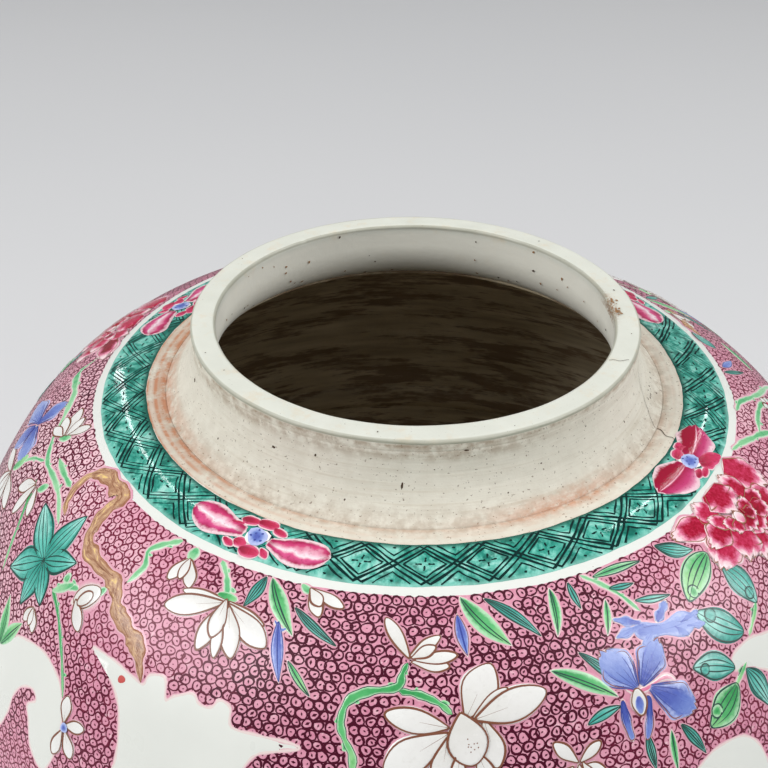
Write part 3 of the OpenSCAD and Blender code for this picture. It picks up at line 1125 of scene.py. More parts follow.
def peony(pen):
    """The ruby peony on the right: wide outer petals round a crowded heart."""
    petals = [
        ((50.8, 20.8), (43.2, 18.8), 8.4, 0.0), ((52.4, 22.8), (51.4, 15.2), 9.4, 0.6),
        ((64.2, 15.6), (66.8, 28.4), 13.2, 0.8), ((61.2, 25.4), (61.0, 15.8), 7.4, 1.8),
        ((56.8, 28.6), (54.6, 38.8), 14.6, 0.2), ((59.0, 28.0), (61.6, 37.0), 12.4, 1.0),
        ((52.4, 26.0), (46.2, 32.0), 12.6, 1.2), ((60.4, 27.0), (66.0, 32.0), 10.6, 1.6),
        ((54.8, 27.6), (51.6, 35.4), 13.6, 2.4), ((57.8, 28.0), (58.6, 34.2), 11.6, 3.2),
        ((52.8, 24.4), (47.4, 26.8), 8.8, 3.4), ((56.6, 15.7), (56.6, 24.6), 14.8, 4.4),
        ((60.0, 26.0), (63.6, 27.2), 6.6, 4.0), ((59.2, 27.6), (62.4, 31.6), 7.2, 4.4),
        ((53.4, 25.8), (50.8, 20.8), 5.6, 5.0), ((56.8, 27.0), (56.8, 31.8), 10.6, 5.2),
        ((54.6, 27.2), (52.4, 24.4), 5.0, 5.8), ((57.8, 27.8), (59.8, 23.8), 6.0, 6.0),
        ((57.4, 26.8), (59.4, 29.2), 4.8, 6.6), ((55.0, 26.6), (53.4, 29.2), 4.8, 6.8),
    ]
    for base, tip, width, tier in petals:
        peony_petal(pen, base, tip, width, tier)
    pen.blade("pale_pink", (55.8, 28.4), (55.8, 24.4), 4.0, "oval", tier=7.4, halo=0,
              edge=("gold_ink", 0.3))


def right_stems(pen):
    """Pale stems with small leaves, right of the peony."""
    pen.stroke("light_green", [(69.6, 16.4), (72.6, 18.4), (76, 22), (79.4, 26.4), (82, 33)],
               [1.4, 2.2, 2.6, 2.8, 2.2])
    pen.stroke("light_green", [(78.4, 24.4), (82.6, 24.2), (87.4, 26.6), (91.6, 32)], [1.2, 2.0, 2.4, 2.0])
    pen.stroke("light_green", [(82, 16.8), (85.4, 18.6), (88.4, 23), (91.4, 28), (96.8, 36), (101, 47)],
               [1.4, 2.2, 2.4, 2.4, 2.2, 1.6])
    blossom(pen, (89.4, 30.4), 3.6, centre="ruby")
    pen.stroke("branch", [(109, 19.6), (112.4, 18.6), (116, 20), (120, 19.4)],
               [1.2, 3.0, 3.4, 1.6], height=0.22, halo=0.7, crown=0.14)
    pen.blade("blue", (96.8, 17.8), (100.8, 24.0), 2.6, "leaf", 4, edge=("blue_ink", 0.24))
    leaf(pen, "teal", (94.8, 17.0), (97.8, 26.4), 2.2, bend=6)
    leaf(pen, "teal", (104.4, 21.2), (109.6, 16.8), 5.0, bend=-8)
    leaf(pen, "green", (101.2, 34.0), (108.4, 28.6), 4.2, bend=8)
    leaf(pen, "teal", (84.6, 36.0), (79.4, 43.2), 5.0, bend=8)


def palmate_leaf(pen):
    """The five-lobed teal leaf, the stems to its left and the bud and green leaves below it."""
    pen.stroke("light_green", [(-78, 29), (-74, 31.6), (-70.6, 33), (-66, 32), (-61.6, 32.6), (-57, 36.4)],
               [1.2, 2.0, 2.4, 2.2, 2.0, 1.4])
    pen.stroke("light_green", [(-69.6, 28.8), (-66, 28.6), (-61.4, 28.2)], [1.6, 2.4, 2.2])
    pen.stroke("light_green", [(-71.6, 34), (-74.6, 38.4), (-76.4, 44)], [1.4, 1.6, 1.6])
    pen.stroke("green", [(-69, 37.6), (-66.8, 42), (-64.6, 48), (-63.2, 54), (-62, 61)],
               [1.4, 2.0, 1.8, 1.8, 1.4], edge="leaf_ink")
    pen.blade("light_green", (-66.6, 38.2), (-65.4, 34.4), 3.0, "oval", edge=None)
    white_flower(pen, [
        ((-68.2, 38.2), (-71.2, 45.2), 5.0, 0),
        ((-67.8, 38.2), (-67.8, 49.8), 4.6, 1),
        ((-67.2, 38.2), (-63.8, 44.4), 3.6, 0),
    ])
    lobes = [
        ((-53.8, 28.6), 8.4), ((-62.4, 37.2), 9.0), ((-49.2, 38.8), 7.6), ((-60.6, 57.0), 9.4),
        ((-50.8, 54.8), 7.0), ((-54.6, 60.0), 7.6),
    ]
    for tip, width in lobes:
        leaf(pen, "deep_teal", (-54.6, 45.6), tip, width, bend=0, veins=2, halo=0.5, ink=0.62)
    pen.blade("light_green", (-47.0, 43.0), (-50.0, 49.0), 2.4, "oval", edge=None)
    white_flower(pen, [
        ((-51.8, 57.0), (-52.6, 62.2), 3.6, 0),
        ((-51.4, 57.0), (-50.0, 62.4), 3.6, 0),
        ((-51.6, 56.8), (-51.2, 61.8), 2.8, 1),
    ])
    leaf(pen, "green", (-55.4, 75.0), (-57.4, 62.0), 5.0, bend=6, veins=4)
    leaf(pen, "green", (-55.2, 74.6), (-52.6, 63.4), 4.6, bend=-4, veins=4)


def left_flowers(pen):
    """White flowers, a blue flower and a green branch at the left edge of the view."""
    pen.stroke("light_green", [(-97, 22), (-93.6, 27), (-90, 26.2), (-86, 24.8), (-81, 26.4), (-77, 29)],
               [2.0, 3.4, 3.0, 2.8, 2.4, 1.6])
    pen.blade("light_green", (-74.6, 28.0), (-73.0, 24.2), 3.0, "oval", edge=None)
    white_flower(pen, [
        ((-74.2, 26.0), (-79.8, 20.2), 4.6, 0),
        ((-74.2, 25.2), (-73.2, 17.4), 4.0, 0),
        ((-74.4, 26.4), (-79.4, 25.6), 4.0, 1),
        ((-74.4, 26.8), (-78.4, 29.8), 3.6, 1),
        ((-74.0, 25.6), (-76.4, 19.0), 3.6, 1),
    ])
    blue_petal(pen, (-83.6, 38.6), (-84.2, 26.6), 8.4)
    blue_petal(pen, (-83.6, 38.0), (-91.4, 43.6), 9.6)
    blue_petal(pen, (-83.0, 38.6), (-76.8, 44.6), 9.6)
    blue_petal(pen, (-83.4, 39.4), (-83.6, 51.0), 9.0)
    pen.blade("green", (-77.4, 48.6), (-76.2, 40.6), 4.4, "oval", edge=None)
    white_flower(pen, [
        ((-77.2, 50.0), (-84.0, 51.6), 5.0, 0),
        ((-76.8, 50.0), (-70.8, 53.4), 5.4, 0),
        ((-77.2, 49.6), (-79.8, 60.4), 4.6, 1),
        ((-76.8, 49.6), (-74.4, 60.4), 4.6, 1),
        ((-77.0, 49.6), (-77.4, 61.0), 4.2, 2),
    ])


# Each group with the point it is moved by
GROUPS = {
    hanging_buds: (-24, 29),
    gilt_branch: (-46, 46),
    great_magnolia: (6, 46),
    hanging_leaves: (22, 27),
    iris: (27, 53),
    curled_leaves: (42, 45),
    peony: (56, 27),
    right_stems: (90, 27),
    palmate_leaf: (-60, 48),
    left_flowers: (-82, 40),
}


# ---------------------------------------------------------------- border, ground and reserves

REPEATS = 35
FLOWER_AT = (-26.2, 61.0, 127.0, 186.0, 243.5)


def round_band(painting, paint, top, bottom, height, rows, columns=720, waver=0.0, seed=0.0):
    """A closed band of paint right round the jar, with hand-painted edges."""
    azimuth = np.linspace(0, 360, columns, endpoint=False)
    share = np.linspace(0, 1, rows)
    share = 0.5 - 0.5 * np.cos(share * math.pi)
    a = np.radians(azimuth)
    shake = np.sin(17 * a + seed) + 0.6 * np.sin(41 * a + 2 * seed) + 0.4 * np.sin(97 * a)
    upper = top + waver * shake
    shake = np.sin(13 * a + 3 * seed) + 0.7 * np.sin(37 * a + seed) + 0.4 * np.sin(83 * a)
    lower = bottom + waver * shake
    s = upper[None, :] * (1 - share[:, None]) + lower[None, :] * share[:, None]
    azimuth = np.broadcast_to(azimuth, s.shape)
    edge = np.minimum(s - upper[None, :], lower[None, :] - s)
    lift = height * np.sqrt(np.clip(0.05 + edge / 0.9, 0.05, 1)) + 0 * s
    # The ground's tone: paler at the left, and paler at the right as a painted sheen
    depth = 0.5 - 0.42 * bump_at(azimuth, -75, 26) - 0.2 * bump_at(azimuth, 78, 22)
    parts = np.broadcast_arrays(azimuth / 360, share[:, None], np.clip(1 - edge / 2, 0, 1), depth)
    faces = grid_faces(rows, columns, closed_columns=True)
    painting.layer(paint).add(on_canvas(azimuth, s, lift), faces, np.stack(parts, -1))


def hand_line(painting, colour, start, end, width, height, shake=0.16):
    """A short drawn line that is a little off its mark."""
    shaken = painting.random.uniform
    points = []
    for t in (0.0, 0.33, 0.66, 1.0):
        x, y = shaken(-shake, shake), shaken(-shake, shake)
        at = [a + (b - a) * t for a, b in zip(start, end)]
        points.append(near(at, x, y))
    painting.line(colour, *smooth_path(points, 3), width, height, uneven=0.25)


def trellis(painting, top, depth, flowers):
    """The lattice of the border: crossed double lines, inner diamonds, ticks and chevrons."""
    pitch = 360 / REPEATS
    middle, reach = top + depth / 2, depth / 2 - 0.7
    to_deg = math.degrees(1 / float(radius_at(middle)))
    height = 0.16
    width = painting.random.uniform
    ways = (-1, 1)

    def ink(start, end, wide, shake=0.16):
        hand_line(painting, "border_ink", start, end, wide, height, shake)

    for k in range(REPEATS):
        cross = -13 + pitch * k
        centre = cross + pitch / 2
        for side, way, gap in itertools.product(ways, ways, (-0.5, 0.5)):
            shift = gap * 2.1 * to_deg * way * side
            end = (cross + side * pitch / 2 + shift, middle + way * reach)
            ink((cross + shift, middle), end, width(0.52, 0.74))
        left, right = (centre - pitch * 0.335, middle), (centre + pitch * 0.335, middle)
        high, low = (centre, middle - reach * 0.68), (centre, middle + reach * 0.68)
        for start, end in ((left, high), (high, right), (right, low), (low, left)):
            ink(start, end, width(0.42, 0.6))
        for x, y in ((-1.6, 0), (1.6, 0), (0, 1.3), (0, -1.3)):
            heart = (centre, middle)
            ink(near(heart, x * 0.5, y * 0.5), near(heart, x * 1.5 + y * 0.3, y * 1.6), 0.48, 0.1)
        for way in ways:
            edge = middle + way * reach
            for side in ways:
                apex = (cross, middle + way * reach * 0.42)
                ink(apex, (cross + side * pitch * 0.28, edge), width(0.4, 0.56))
            painting.dot("border_ink", (cross, edge - way * 0.9), 0.42, height, 0.8)
    for azimuth in flowers:
        border_flower(painting, azimuth, middle, broad=azimuth == FLOWER_AT[1])


def border_flower(painting, azimuth, s, broad=False):
    """A flower laid over the border: two long petals, small lobes and a blue heart."""
    size = float(radius_at(7.0) / radius_at(s))
    pen = Pen(painting)

    def spot(x, y):
        return near((azimuth, s), x * size, y)

    def petal(paint, x0, y0, x1, y1, width, form, bend=0, lobes=0.0):
        pen.blade(paint, spot(x0, y0), spot(x1, y1), width, form, bend, 0.05, halo=0.4,
                  base_h=0.10, mirror=x1 < 0, halo_paint="white_halo", lobes=lobes)

    lift = 0.10
    if broad:
        petal("split_petal", -2.0, 0.4, -18.4, 0.6, 12.2, "shell", -4, 0.04)
        petal("split_petal", 1.6, 0.2, 17.2, 2.6, 11.2, "shell", 4, 0.06)
        petal("ruby", 1.4, -1.4, 9.4, -6.6, 5.4, "shell", 4, 0.05)
        lobes = [
            (-1.6, 3.2, 3.0, 4.6, 3.4), (2.6, 3.8, 6.2, 5.4, 2.8), (3.4, 5.4, 5.6, 2.8, 1.6),
            (-5.2, -4.4, -1.2, -3.4, 2.2), (-3.4, -5.6, 1.2, -4.6, 1.8), (0.6, -3.0, 5.2, -5.6, 4.4),
        ]
    else:
        petal("border_petal", -4.0, 0.2, -21.8, 0.8, 9.6, "long", -6, 0.03)
        petal("border_petal", 3.6, -0.4, 20.8, -0.6, 9.0, "long", 6, 0.03)
        lobes = [
            (-7.2, 3.8, -2.0, 4.6, 3.0), (-2.6, 4.9, 3.4, 5.2, 3.4), (2.6, 4.2, 7.0, 2.8, 2.2),
            (-8.2, -3.8, -4.6, -5.2, 1.8), (-5.2, -3.2, -1.4, -3.4, 3.0), (-2.6, -5.0, 3.4, -5.0, 3.8),
            (3.0, -3.0, 5.8, -5.4, 1.8), (-9.4, 1.6, -5.6, 2.4, 1.2),
        ]
    for lobe in lobes:
        petal("ruby", *lobe, "oval")
    painting.dot("white_ink", spot(0, 0), 3.2, PETAL_H + lift - 0.02, 0.9)
    painting.dot("blue", spot(0, 0), 3.0, PETAL_H + lift + 0.04, 0.95, crown=0.14)
    for k in range(7):
        angle = k * 2.4
        reach = 2.2 * math.sqrt((k + 0.5) / 7)
        at = spot(reach * math.cos(angle), reach * math.sin(angle))
        painting.dot("blue_ink", at, 0.34, PETAL_H + lift + 0.14)


RESERVES = {
    "crest": [
        (-39.6, 52.7), (-36, 52.2), (-32.6, 53.2), (-31, 53.6), (-30.6, 50.8), (-28.6, 49.6),
        (-27.7, 54.4), (-26.7, 52.8), (-24.6, 50.4), (-23.5, 52.2), (-22, 52.0), (-21.2, 49.6),
        (-19.8, 50.6), (-19.2, 54.8), (-16, 55.0), (-12.4, 55.0), (-11.4, 56), (-13.4, 57.4),
        (-15.6, 59.2), (-16.8, 62.5), (-17.6, 70), (-14.6, 79), (-10.6, 90), (-12.6, 101),
        (-22, 108), (-33, 104), (-36.4, 94), (-33, 84), (-31.8, 76), (-32.2, 68), (-33.6, 60.6),
        (-36, 56.2),
    ],
    "hook": [
        (-56.4, 77), (-54.6, 71), (-51.6, 66.4), (-47, 63.6), (-43.6, 65.3), (-41.6, 68.8), (-40.4, 75),
        (-40.2, 84), (-41.6, 92), (-44.2, 89), (-45.4, 83), (-46.4, 79.4), (-45.2, 76.4), (-46.2, 74.2),
        (-48.2, 76.4), (-49.4, 81), (-49.8, 88), (-51.4, 95), (-55.4, 97), (-58.2, 91), (-58.0, 83),
    ],
    "drift": [
        (39.6, 54.4), (41.2, 51.6), (44.2, 50.9), (46.8, 52.6), (50, 54.6), (54.6, 57), (60, 61),
        (62.4, 70), (57.6, 76), (51, 71), (46.8, 65), (45.2, 61), (43, 57.8), (41, 56),
    ],
    "cloud": [
        (32, 72.8), (34.6, 70.6), (38.2, 71.4), (40.3, 75.6), (41.3, 83), (41.8, 94), (38, 104), (29, 108),
        (21, 102), (19.6, 91), (24, 83), (28.6, 76.6),
    ],
}


def inside_outline(x, y, loop):
    """Which points lie inside a closed outline."""
    inside = np.zeros(np.shape(x), bool)
    for (x0, y0), (x1, y1) in zip(loop, np.roll(loop, -1, 0)):
        crosses = (y0 > y) != (y1 > y)
        if y1 != y0:
            inside ^= crosses & (x < (x1 - x0) * (y - y0) / (y1 - y0) + x0)
    return inside


def reserve(pen, name):
    """An area of the ground left white, with a soft washed edge."""
    points = [pen.put(p) for p in RESERVES[name]]
    azimuth, s = smooth_path([points[-1], *points, points[0]], 5)
    azimuth, s = azimuth[5:-6], s[5:-6]
    radius = float(radius_at(s.mean()))
    loop = np.stack([np.radians(azimuth) * radius, s], -1)
    low, high = loop.min(0), loop.max(0)

    def grid(step):
        return np.meshgrid(np.arange(low[0], high[0], step), np.arange(low[1], high[1], step))

    def from_edge(x, y):
        return np.min(np.hypot(x[..., None] - loop[:, 0], y[..., None] - loop[:, 1]), -1)

    gx, gy = grid(1.9)
    keep = inside_outline(gx, gy, loop) & (from_edge(gx, gy) > 0.7)
    flat = np.vstack([loop, np.stack([gx[keep], gy[keep]], -1)])
    count = len(loop)
    ring = [(i, (i + 1) % count) for i in range(count)]
    made = delaunay_2d_cdt([Vector(p) for p in flat], ring, [], 1, 1e-5)
    x, y = np.array([tuple(v) for v in made[0]]).T
    faces = np.array([f for f in made[2] if len(f) == 3])
    a = np.degrees(x / radius)
    rim = np.clip(1 - from_edge(x, y) / 1.5, 0, 1)
    painting = pen.painting
    paint = np.stack([a / 360, y / S_FOOT, rim, np.full(len(x), 0.5)], -1)
    co = on_canvas(a, y, 0.10 + 0.05 * (1 - rim))
    # Slivers along the edge can come out turned over
    first, second, third = (co[faces[:, k]] for k in range(3))
    facing = np.cross(second - first, third - first) * (first - [0, 0, BELLY_Z])
    turned = facing.sum(1) <= 0
    faces[turned] = faces[turned][:, ::-1]
    painting.layer("reserve").add(co, faces, paint)
    gx, gy = grid(0.3)
    kept = inside_outline(gx, gy, loop)
    painting.mark(np.degrees(gx[kept] / radius), gy[kept])
    wash_edge(painting, np.append(azimuth, azimuth[0]), np.append(s, s[0]))


def wash_edge(painting, azimuth, s):
    """The narrow pale wash along a reserve's edge."""
    u = np.linspace(-1, 1, 5)
    side = 0.7 * u * (1 + 0.25 * np.sin(np.arange(len(azimuth)) * 1.3))[:, None]
    a2, s2 = beside(azimuth, s, side)
    rim = 0.35 + 0.65 * np.abs(u) + 0 * a2
    lift = 0.115 - 0.03 * np.abs(u) + 0 * a2
    painting.layer("halo").patch(a2, s2, lift, 0.5, u / 2 + 0.5, rim, 0.5)


RING_PITCH_X, RING_PITCH_S = 2.80, 2.46
RINGS_PER_PIECE = 6500


def ring_centres(painting):
    """Where the rings of the diaper ground stand: rows of close, unevenly placed rings."""
    r = np.random.default_rng(11)
    rows = []
    s = GROUND_TOP + 1.35
    row = 0
    while s < GROUND_END - 1.2:
        count = round(2 * math.pi * float(radius_at(s)) / RING_PITCH_X)
        azimuth = (np.arange(count) + 0.5 * (row % 2) + r.normal(0, 0.08, count)) * 360 / count
        azimuth = (azimuth + 180) % 360 - 180
        drift = 0.5 * np.sin(np.radians(azimuth) * 5 + row * 0.31) + r.normal(0, 0.13, count)
        rows.append(np.stack([azimuth, np.maximum(s + drift * (row > 0), GROUND_TOP + 1.2)], -1))
        s += RING_PITCH_S
        row += 1
    found = np.concatenate(rows)
    hidden = painting.is_busy(found[:, 0], found[:, 1])
    for x, y in ((0.95, 0), (-0.95, 0), (0, 0.95), (0, -0.95)):
        azimuth, distance = local_points(found[:, 0], found[:, 1], x, y)
        hidden &= painting.is_busy(azimuth, distance)
    return found[~hidden], r


def ring_tone(azimuth, s):
    """How dark the ground is painted, from 0 (pale) to 1 (dark): darkest towards the front, partly deeper
    pigment and partly painted shade, with a paler patch at the left that is a painted reflection.
    """
    a = (azimuth + 180) % 360 - 180
    # Darker towards the front: deeper pigment and painted shade
    front = np.exp(-(((a - 4) / 26) ** 2))
    clouds = 0.5 + 0.25 * np.sin(np.radians(a) * 3 + s / 17) + 0.25 * np.sin(np.radians(a) * 7 - s / 11 + 1)
    # A paler patch at the left: painted reflection of the left lamp
    painted_reflection_left = np.exp(-(((a + 30) / 9) ** 2) - ((s - 36) / 12) ** 2)
    left_dark = np.exp(-(((a + 76) / 22) ** 2))
    return np.clip(0.30 * clouds + 0.72 * front - 0.3 * painted_reflection_left + 0.3 * left_dark + 0.05, 0, 1)


def draw_rings(painting):
    """Thousands of small drawn rings, each with a touch at its heart."""
    centres, r = ring_centres(painting)
    tone = ring_tone(centres[:, 0], centres[:, 1]) + r.normal(0, 0.06, len(centres))
    in_view = (np.abs(centres[:, 0]) < 118) & (centres[:, 1] < 112)
    pieces = {}
    for fine in (True, False):
        for group, (low, high) in enumerate(((-9, 0.3), (0.3, 0.58), (0.58, 9))):
            chosen = centres[(in_view == fine) & (tone >= low) & (tone < high)]
            for part, start in enumerate(range(0, len(chosen), RINGS_PER_PIECE)):
                key = f"rings_{('far', 'near')[fine]}_{group}_{part}"
                pieces[key] = group
                painting.layers[key] = Layer()
                ring_shapes(painting.layers[key], chosen[start:start + RINGS_PER_PIECE], r, fine, group)
    return pieces


def ring_shapes(layer, centres, r, fine, group):
    """Adds a batch of drawn rings and their hearts to a layer; group 2 is the boldest."""
    count, turns = len(centres), 13 if fine else 9

    def each(values):
        return values[:, None]

    angle = np.linspace(0, 2 * math.pi, turns)
    a = angle + each(r.uniform(0, 2 * math.pi, count))
    lobes = 1 + 0.09 * np.sin(2 * a + each(r.uniform(0, 6, count)))
    lobes = lobes + 0.06 * np.sin(3 * a + each(r.uniform(0, 6, count)))
    size = each(r.normal(1.22, 0.08, count)) * lobes
    size = size + each(r.normal(0, 0.10, count)) * angle / (2 * math.pi)
    width = (0.40 + 0.05 * group) * (1 + 0.35 * np.sin(a * 1.5 + each(r.uniform(0, 6, count))))
    lift = RING_H + 0.006 * group
    ring = []
    for side in (-0.5, 0.5):
        reach = size + side * width
        x, y = reach * np.cos(a) * 1.06, reach * np.sin(a)
        ring.append(local_points(centres[:, :1], centres[:, 1:], x, y))
    azimuth, s = (np.stack(pair, -1) for pair in zip(*ring))
    first = each(np.arange(count)) * turns * 2 + np.arange(turns - 1) * 2
    faces = np.stack([first, first + 1, first + 3, first + 2], -1).reshape(-1, 4)
    layer.add(on_canvas(azimuth, s, lift), faces)
    heart_x, heart_y = np.array([[-0.40, 0.0, 0.44, 0.02], [0.05, 0.23, -0.04, -0.21]])
    turn = each(r.normal(0.5, 0.9, count))
    grow = each(r.normal(1.0, 0.2, count)) * (0.9 + 0.15 * group)
    x = (heart_x * np.cos(turn) - heart_y * np.sin(turn)) * grow
    y = (heart_x * np.sin(turn) + heart_y * np.cos(turn)) * grow
    azimuth, s = local_points(centres[:, :1] + r.normal(0, 0.05, (count, 1)), centres[:, 1:], x, y)
    layer.add(on_canvas(azimuth, s, lift + 0.004), np.arange(count * 4).reshape(-1, 4))


# ---------------------------------------------------------------- skins of the thrown pieces

def neck_radius(z):
    """Outer radius of the collar at a height: straight near the lip, then a hollow flare."""
    drop = np.clip(LEDGE_Z + FLARE_H - np.asarray(z, float), 0, FLARE_H)
    return LIP_R + FLARE_CURVE - np.sqrt(FLARE_CURVE**2 - drop**2)


def neck_relief(azimuth, z):
    """Turning lines, lumps and the edge of the lip's glaze on the collar's outside."""
    a = np.radians(azimuth)
    down = LIP_Z - np.asarray(z, float)
    lump = 0.10 * np.sin(2 * a + 1.1) + 0.06 * np.sin(5 * a + down / 5) + 0.03 * np.sin(11 * a - down / 3)
    edge = 0.9 + 0.25 * np.sin(9 * a) + 0.15 * np.sin(23 * a + 1)
    glaze = 0.14 * np.clip((edge - down) / 0.5 + 0.5, 0, 1)
    lines = 0.0
    for depth, at, width in ((0.14, 3.6, 0.30), (0.05, 7.1, 0.4), (0.05, 10.2, 0.35), (0.06, 14.3, 0.4),
                             (0.07, 17.6, 0.45), (0.10, 19.8, 0.35)):
        lines = lines - depth * np.exp(-(((down - at - 0.12 * np.sin(3 * a + at)) / width) ** 2))
    fade = np.clip((22.0 - down) / 2, 0, 1)
    return glaze + (lump + lines) * fade


def round_skin(name, profile, columns, materials, kinds, node, relief, paint=None):
    """A closed shell of revolution through (radius, z) points, standing for a CAD node.

    relief gives how far its points stand out and up, and paint their paint values; both are given
    the azimuth, radius and height of the points.
    """
    r, z = np.hsplit(np.asarray(profile, float), 2)
    azimuth = np.linspace(0, 360, columns, endpoint=False)[None, :]
    out, up = relief(azimuth, r, z)
    co = around(azimuth, r + out, z + up)
    faces = grid_faces(len(r), columns, closed_rows=True, closed_columns=True)
    values = (0, 0, 0, 0) if paint is None else paint(azimuth, r, z)
    values = np.stack(np.broadcast_arrays(*values, co[..., 0])[:4], -1)
    face_kind = np.repeat(np.asarray(kinds), columns)
    piece = make_object(name, co.reshape(-1, 3), [faces], materials, values.reshape(-1, 4), face_kind)
    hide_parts(node)


def arc(centre, radius, start, end, steps):
    """Points of (radius, z) along an arc, with angles in degrees from straight up, outward."""
    angles = np.radians(np.linspace(start, end, steps))
    return [(centre[0] + radius * math.sin(t), centre[1] + radius * math.cos(t)) for t in angles]


def collar_profile():
    """The collar's section from its inner foot up, over the lip and down the outside."""
    spread = math.degrees(math.asin(THROAT_H / THROAT_CURVE))
    inner = arc((MOUTH_R + THROAT_CURVE, BORE_Z), THROAT_CURVE, 270 - spread, 270, 16)
    inner += [(MOUTH_R, z) for z in np.linspace(BORE_Z, LIP_Z - LIP_ROUND, 16)[1:-1]]
    lip = arc((MOUTH_R + LIP_ROUND, LIP_Z - LIP_ROUND), LIP_ROUND, -90, 0, 7)
    lip += [(r, LIP_Z) for r in np.linspace(MOUTH_R + LIP_ROUND, LIP_R - LIP_ROUND, 7)[1:-1]]
    lip += arc((LIP_R - LIP_ROUND, LIP_Z - LIP_ROUND), LIP_ROUND, 0, 90, 7)
    fine = np.arange(LIP_Z - LIP_ROUND - 0.25, LIP_Z - 4.6, -0.24)
    rest = np.linspace(LIP_Z - 4.7, LEDGE_Z, 42)
    outer = [(float(neck_radius(z)), float(z)) for z in np.concatenate([fine, rest])]
    outer.append((COLLAR_BASE_R, LEDGE_Z - SEAT_H))
    return inner, lip, outer


def bump_at(azimuth, centre, spread):
    """A smooth 0 to 1 weight round one azimuth."""
    away = (azimuth - centre + 180) % 360 - 180
    return np.exp(-((away / spread) ** 2))


def notch(value, centre, width):
    """A smooth 0 to 1 weight round one value of a length."""
    return np.exp(-(((value - centre) / width) ** 2))


def collar_skin(clay, glaze):
    """The collar: glazed inside and over the lip, bare clay outside."""
    inner, lip, outer = collar_profile()
    glazed = len(inner) + len(lip)
    kinds = [1] * glazed + [0] * len(outer)
    row = np.arange(glazed + len(outer))[:, None]

    def relief(azimuth, r, z):
        outside = row >= glazed - 5
        out = neck_relief(azimuth, z) * outside
        on_lip = (z > LIP_Z - 0.9) & (r < LIP_R - 0.5)
        a = np.radians(azimuth)
        waves = 0.07 * np.sin(3 * a + 0.5) + 0.04 * np.sin(7 * a) + 0.03 * np.sin(19 * a + r / 2)
        chips = 0.0
        for centre, depth in ((91, 0.55), (95.5, 0.35), (100, 0.45), (-141, 0.25)):
            chips = chips + depth * bump_at(azimuth, centre, 1.1) * notch(r, MOUTH_R + 0.4, 0.8)
        bore = ~outside & (z < LIP_Z - 1.2)
        throw = 0.10 * np.sin(2 * a + 2) + 0.08 * np.sin(4 * a + z / 4)
        return out + np.where(bore, throw, 0), np.where(on_lip, waves, 0) - chips * (z > LIP_Z - 1.4)

    def paint(azimuth, r, z):
        down = LIP_Z - z
        outside = row >= glazed - 3
        low = np.clip((down - 17) / 5, 0, 1) * 0.5
        side = 0.25 + 0.35 * bump_at(azimuth, -40, 60) + 0.3 * bump_at(azimuth, 95, 35)
        worn = 0.7 * bump_at(azimuth, -35, 42) + 0.6 * bump_at(azimuth, 14, 16)
        on_clay = 0.8 * notch(down, 1.8, 0.8) + low + 0.25 * side + worn * notch(down, 4.4, 1.9)
        within = np.clip((down - 1.2) / 2, 0, 1) * (0.02 + 0.16 * bump_at(azimuth, 180, 70))
        # The lip's rounded edges are greyed in the glaze: painted shade at the roundings
        painted_lip_edge_shade = 0.9 * ((down > 0.12) & (down < LIP_ROUND + 0.2))
        grime = np.where(outside, on_clay, within) + painted_lip_edge_shade
        fold = np.clip((down - 18.5) / 3.5, 0, 1)
        stain = fold * (0.05 + 0.7 * bump_at(azimuth, -80, 30) + 0.8 * bump_at(azimuth, 32, 15))
        chips = bump_at(azimuth, 95.5, 7) * notch(r, MOUTH_R + 0.2, 1.3) * (down < 3.5)
        return azimuth / 360, z / LIP_Z, grime, np.where(outside, np.clip(stain, 0, 1), chips)

    round_skin("collar_skin", [*inner, *lip, *outer], 720, [clay, glaze], kinds, "neck_collar",
               relief, paint)


def wall_relief(azimuth, rows, first, wall_s):
    """How far the rows of a section that follow the canvas, from first on, stand out and up."""
    last = first + len(wall_s)
    s = np.zeros((rows, 1))
    s[first:last, 0] = wall_s
    on_wall = np.zeros((rows, 1))
    on_wall[first:last] = 1
    off = wobble(azimuth, s) * on_wall
    angle = outline(s)[2]
    return off * np.sin(angle), off * np.cos(angle)


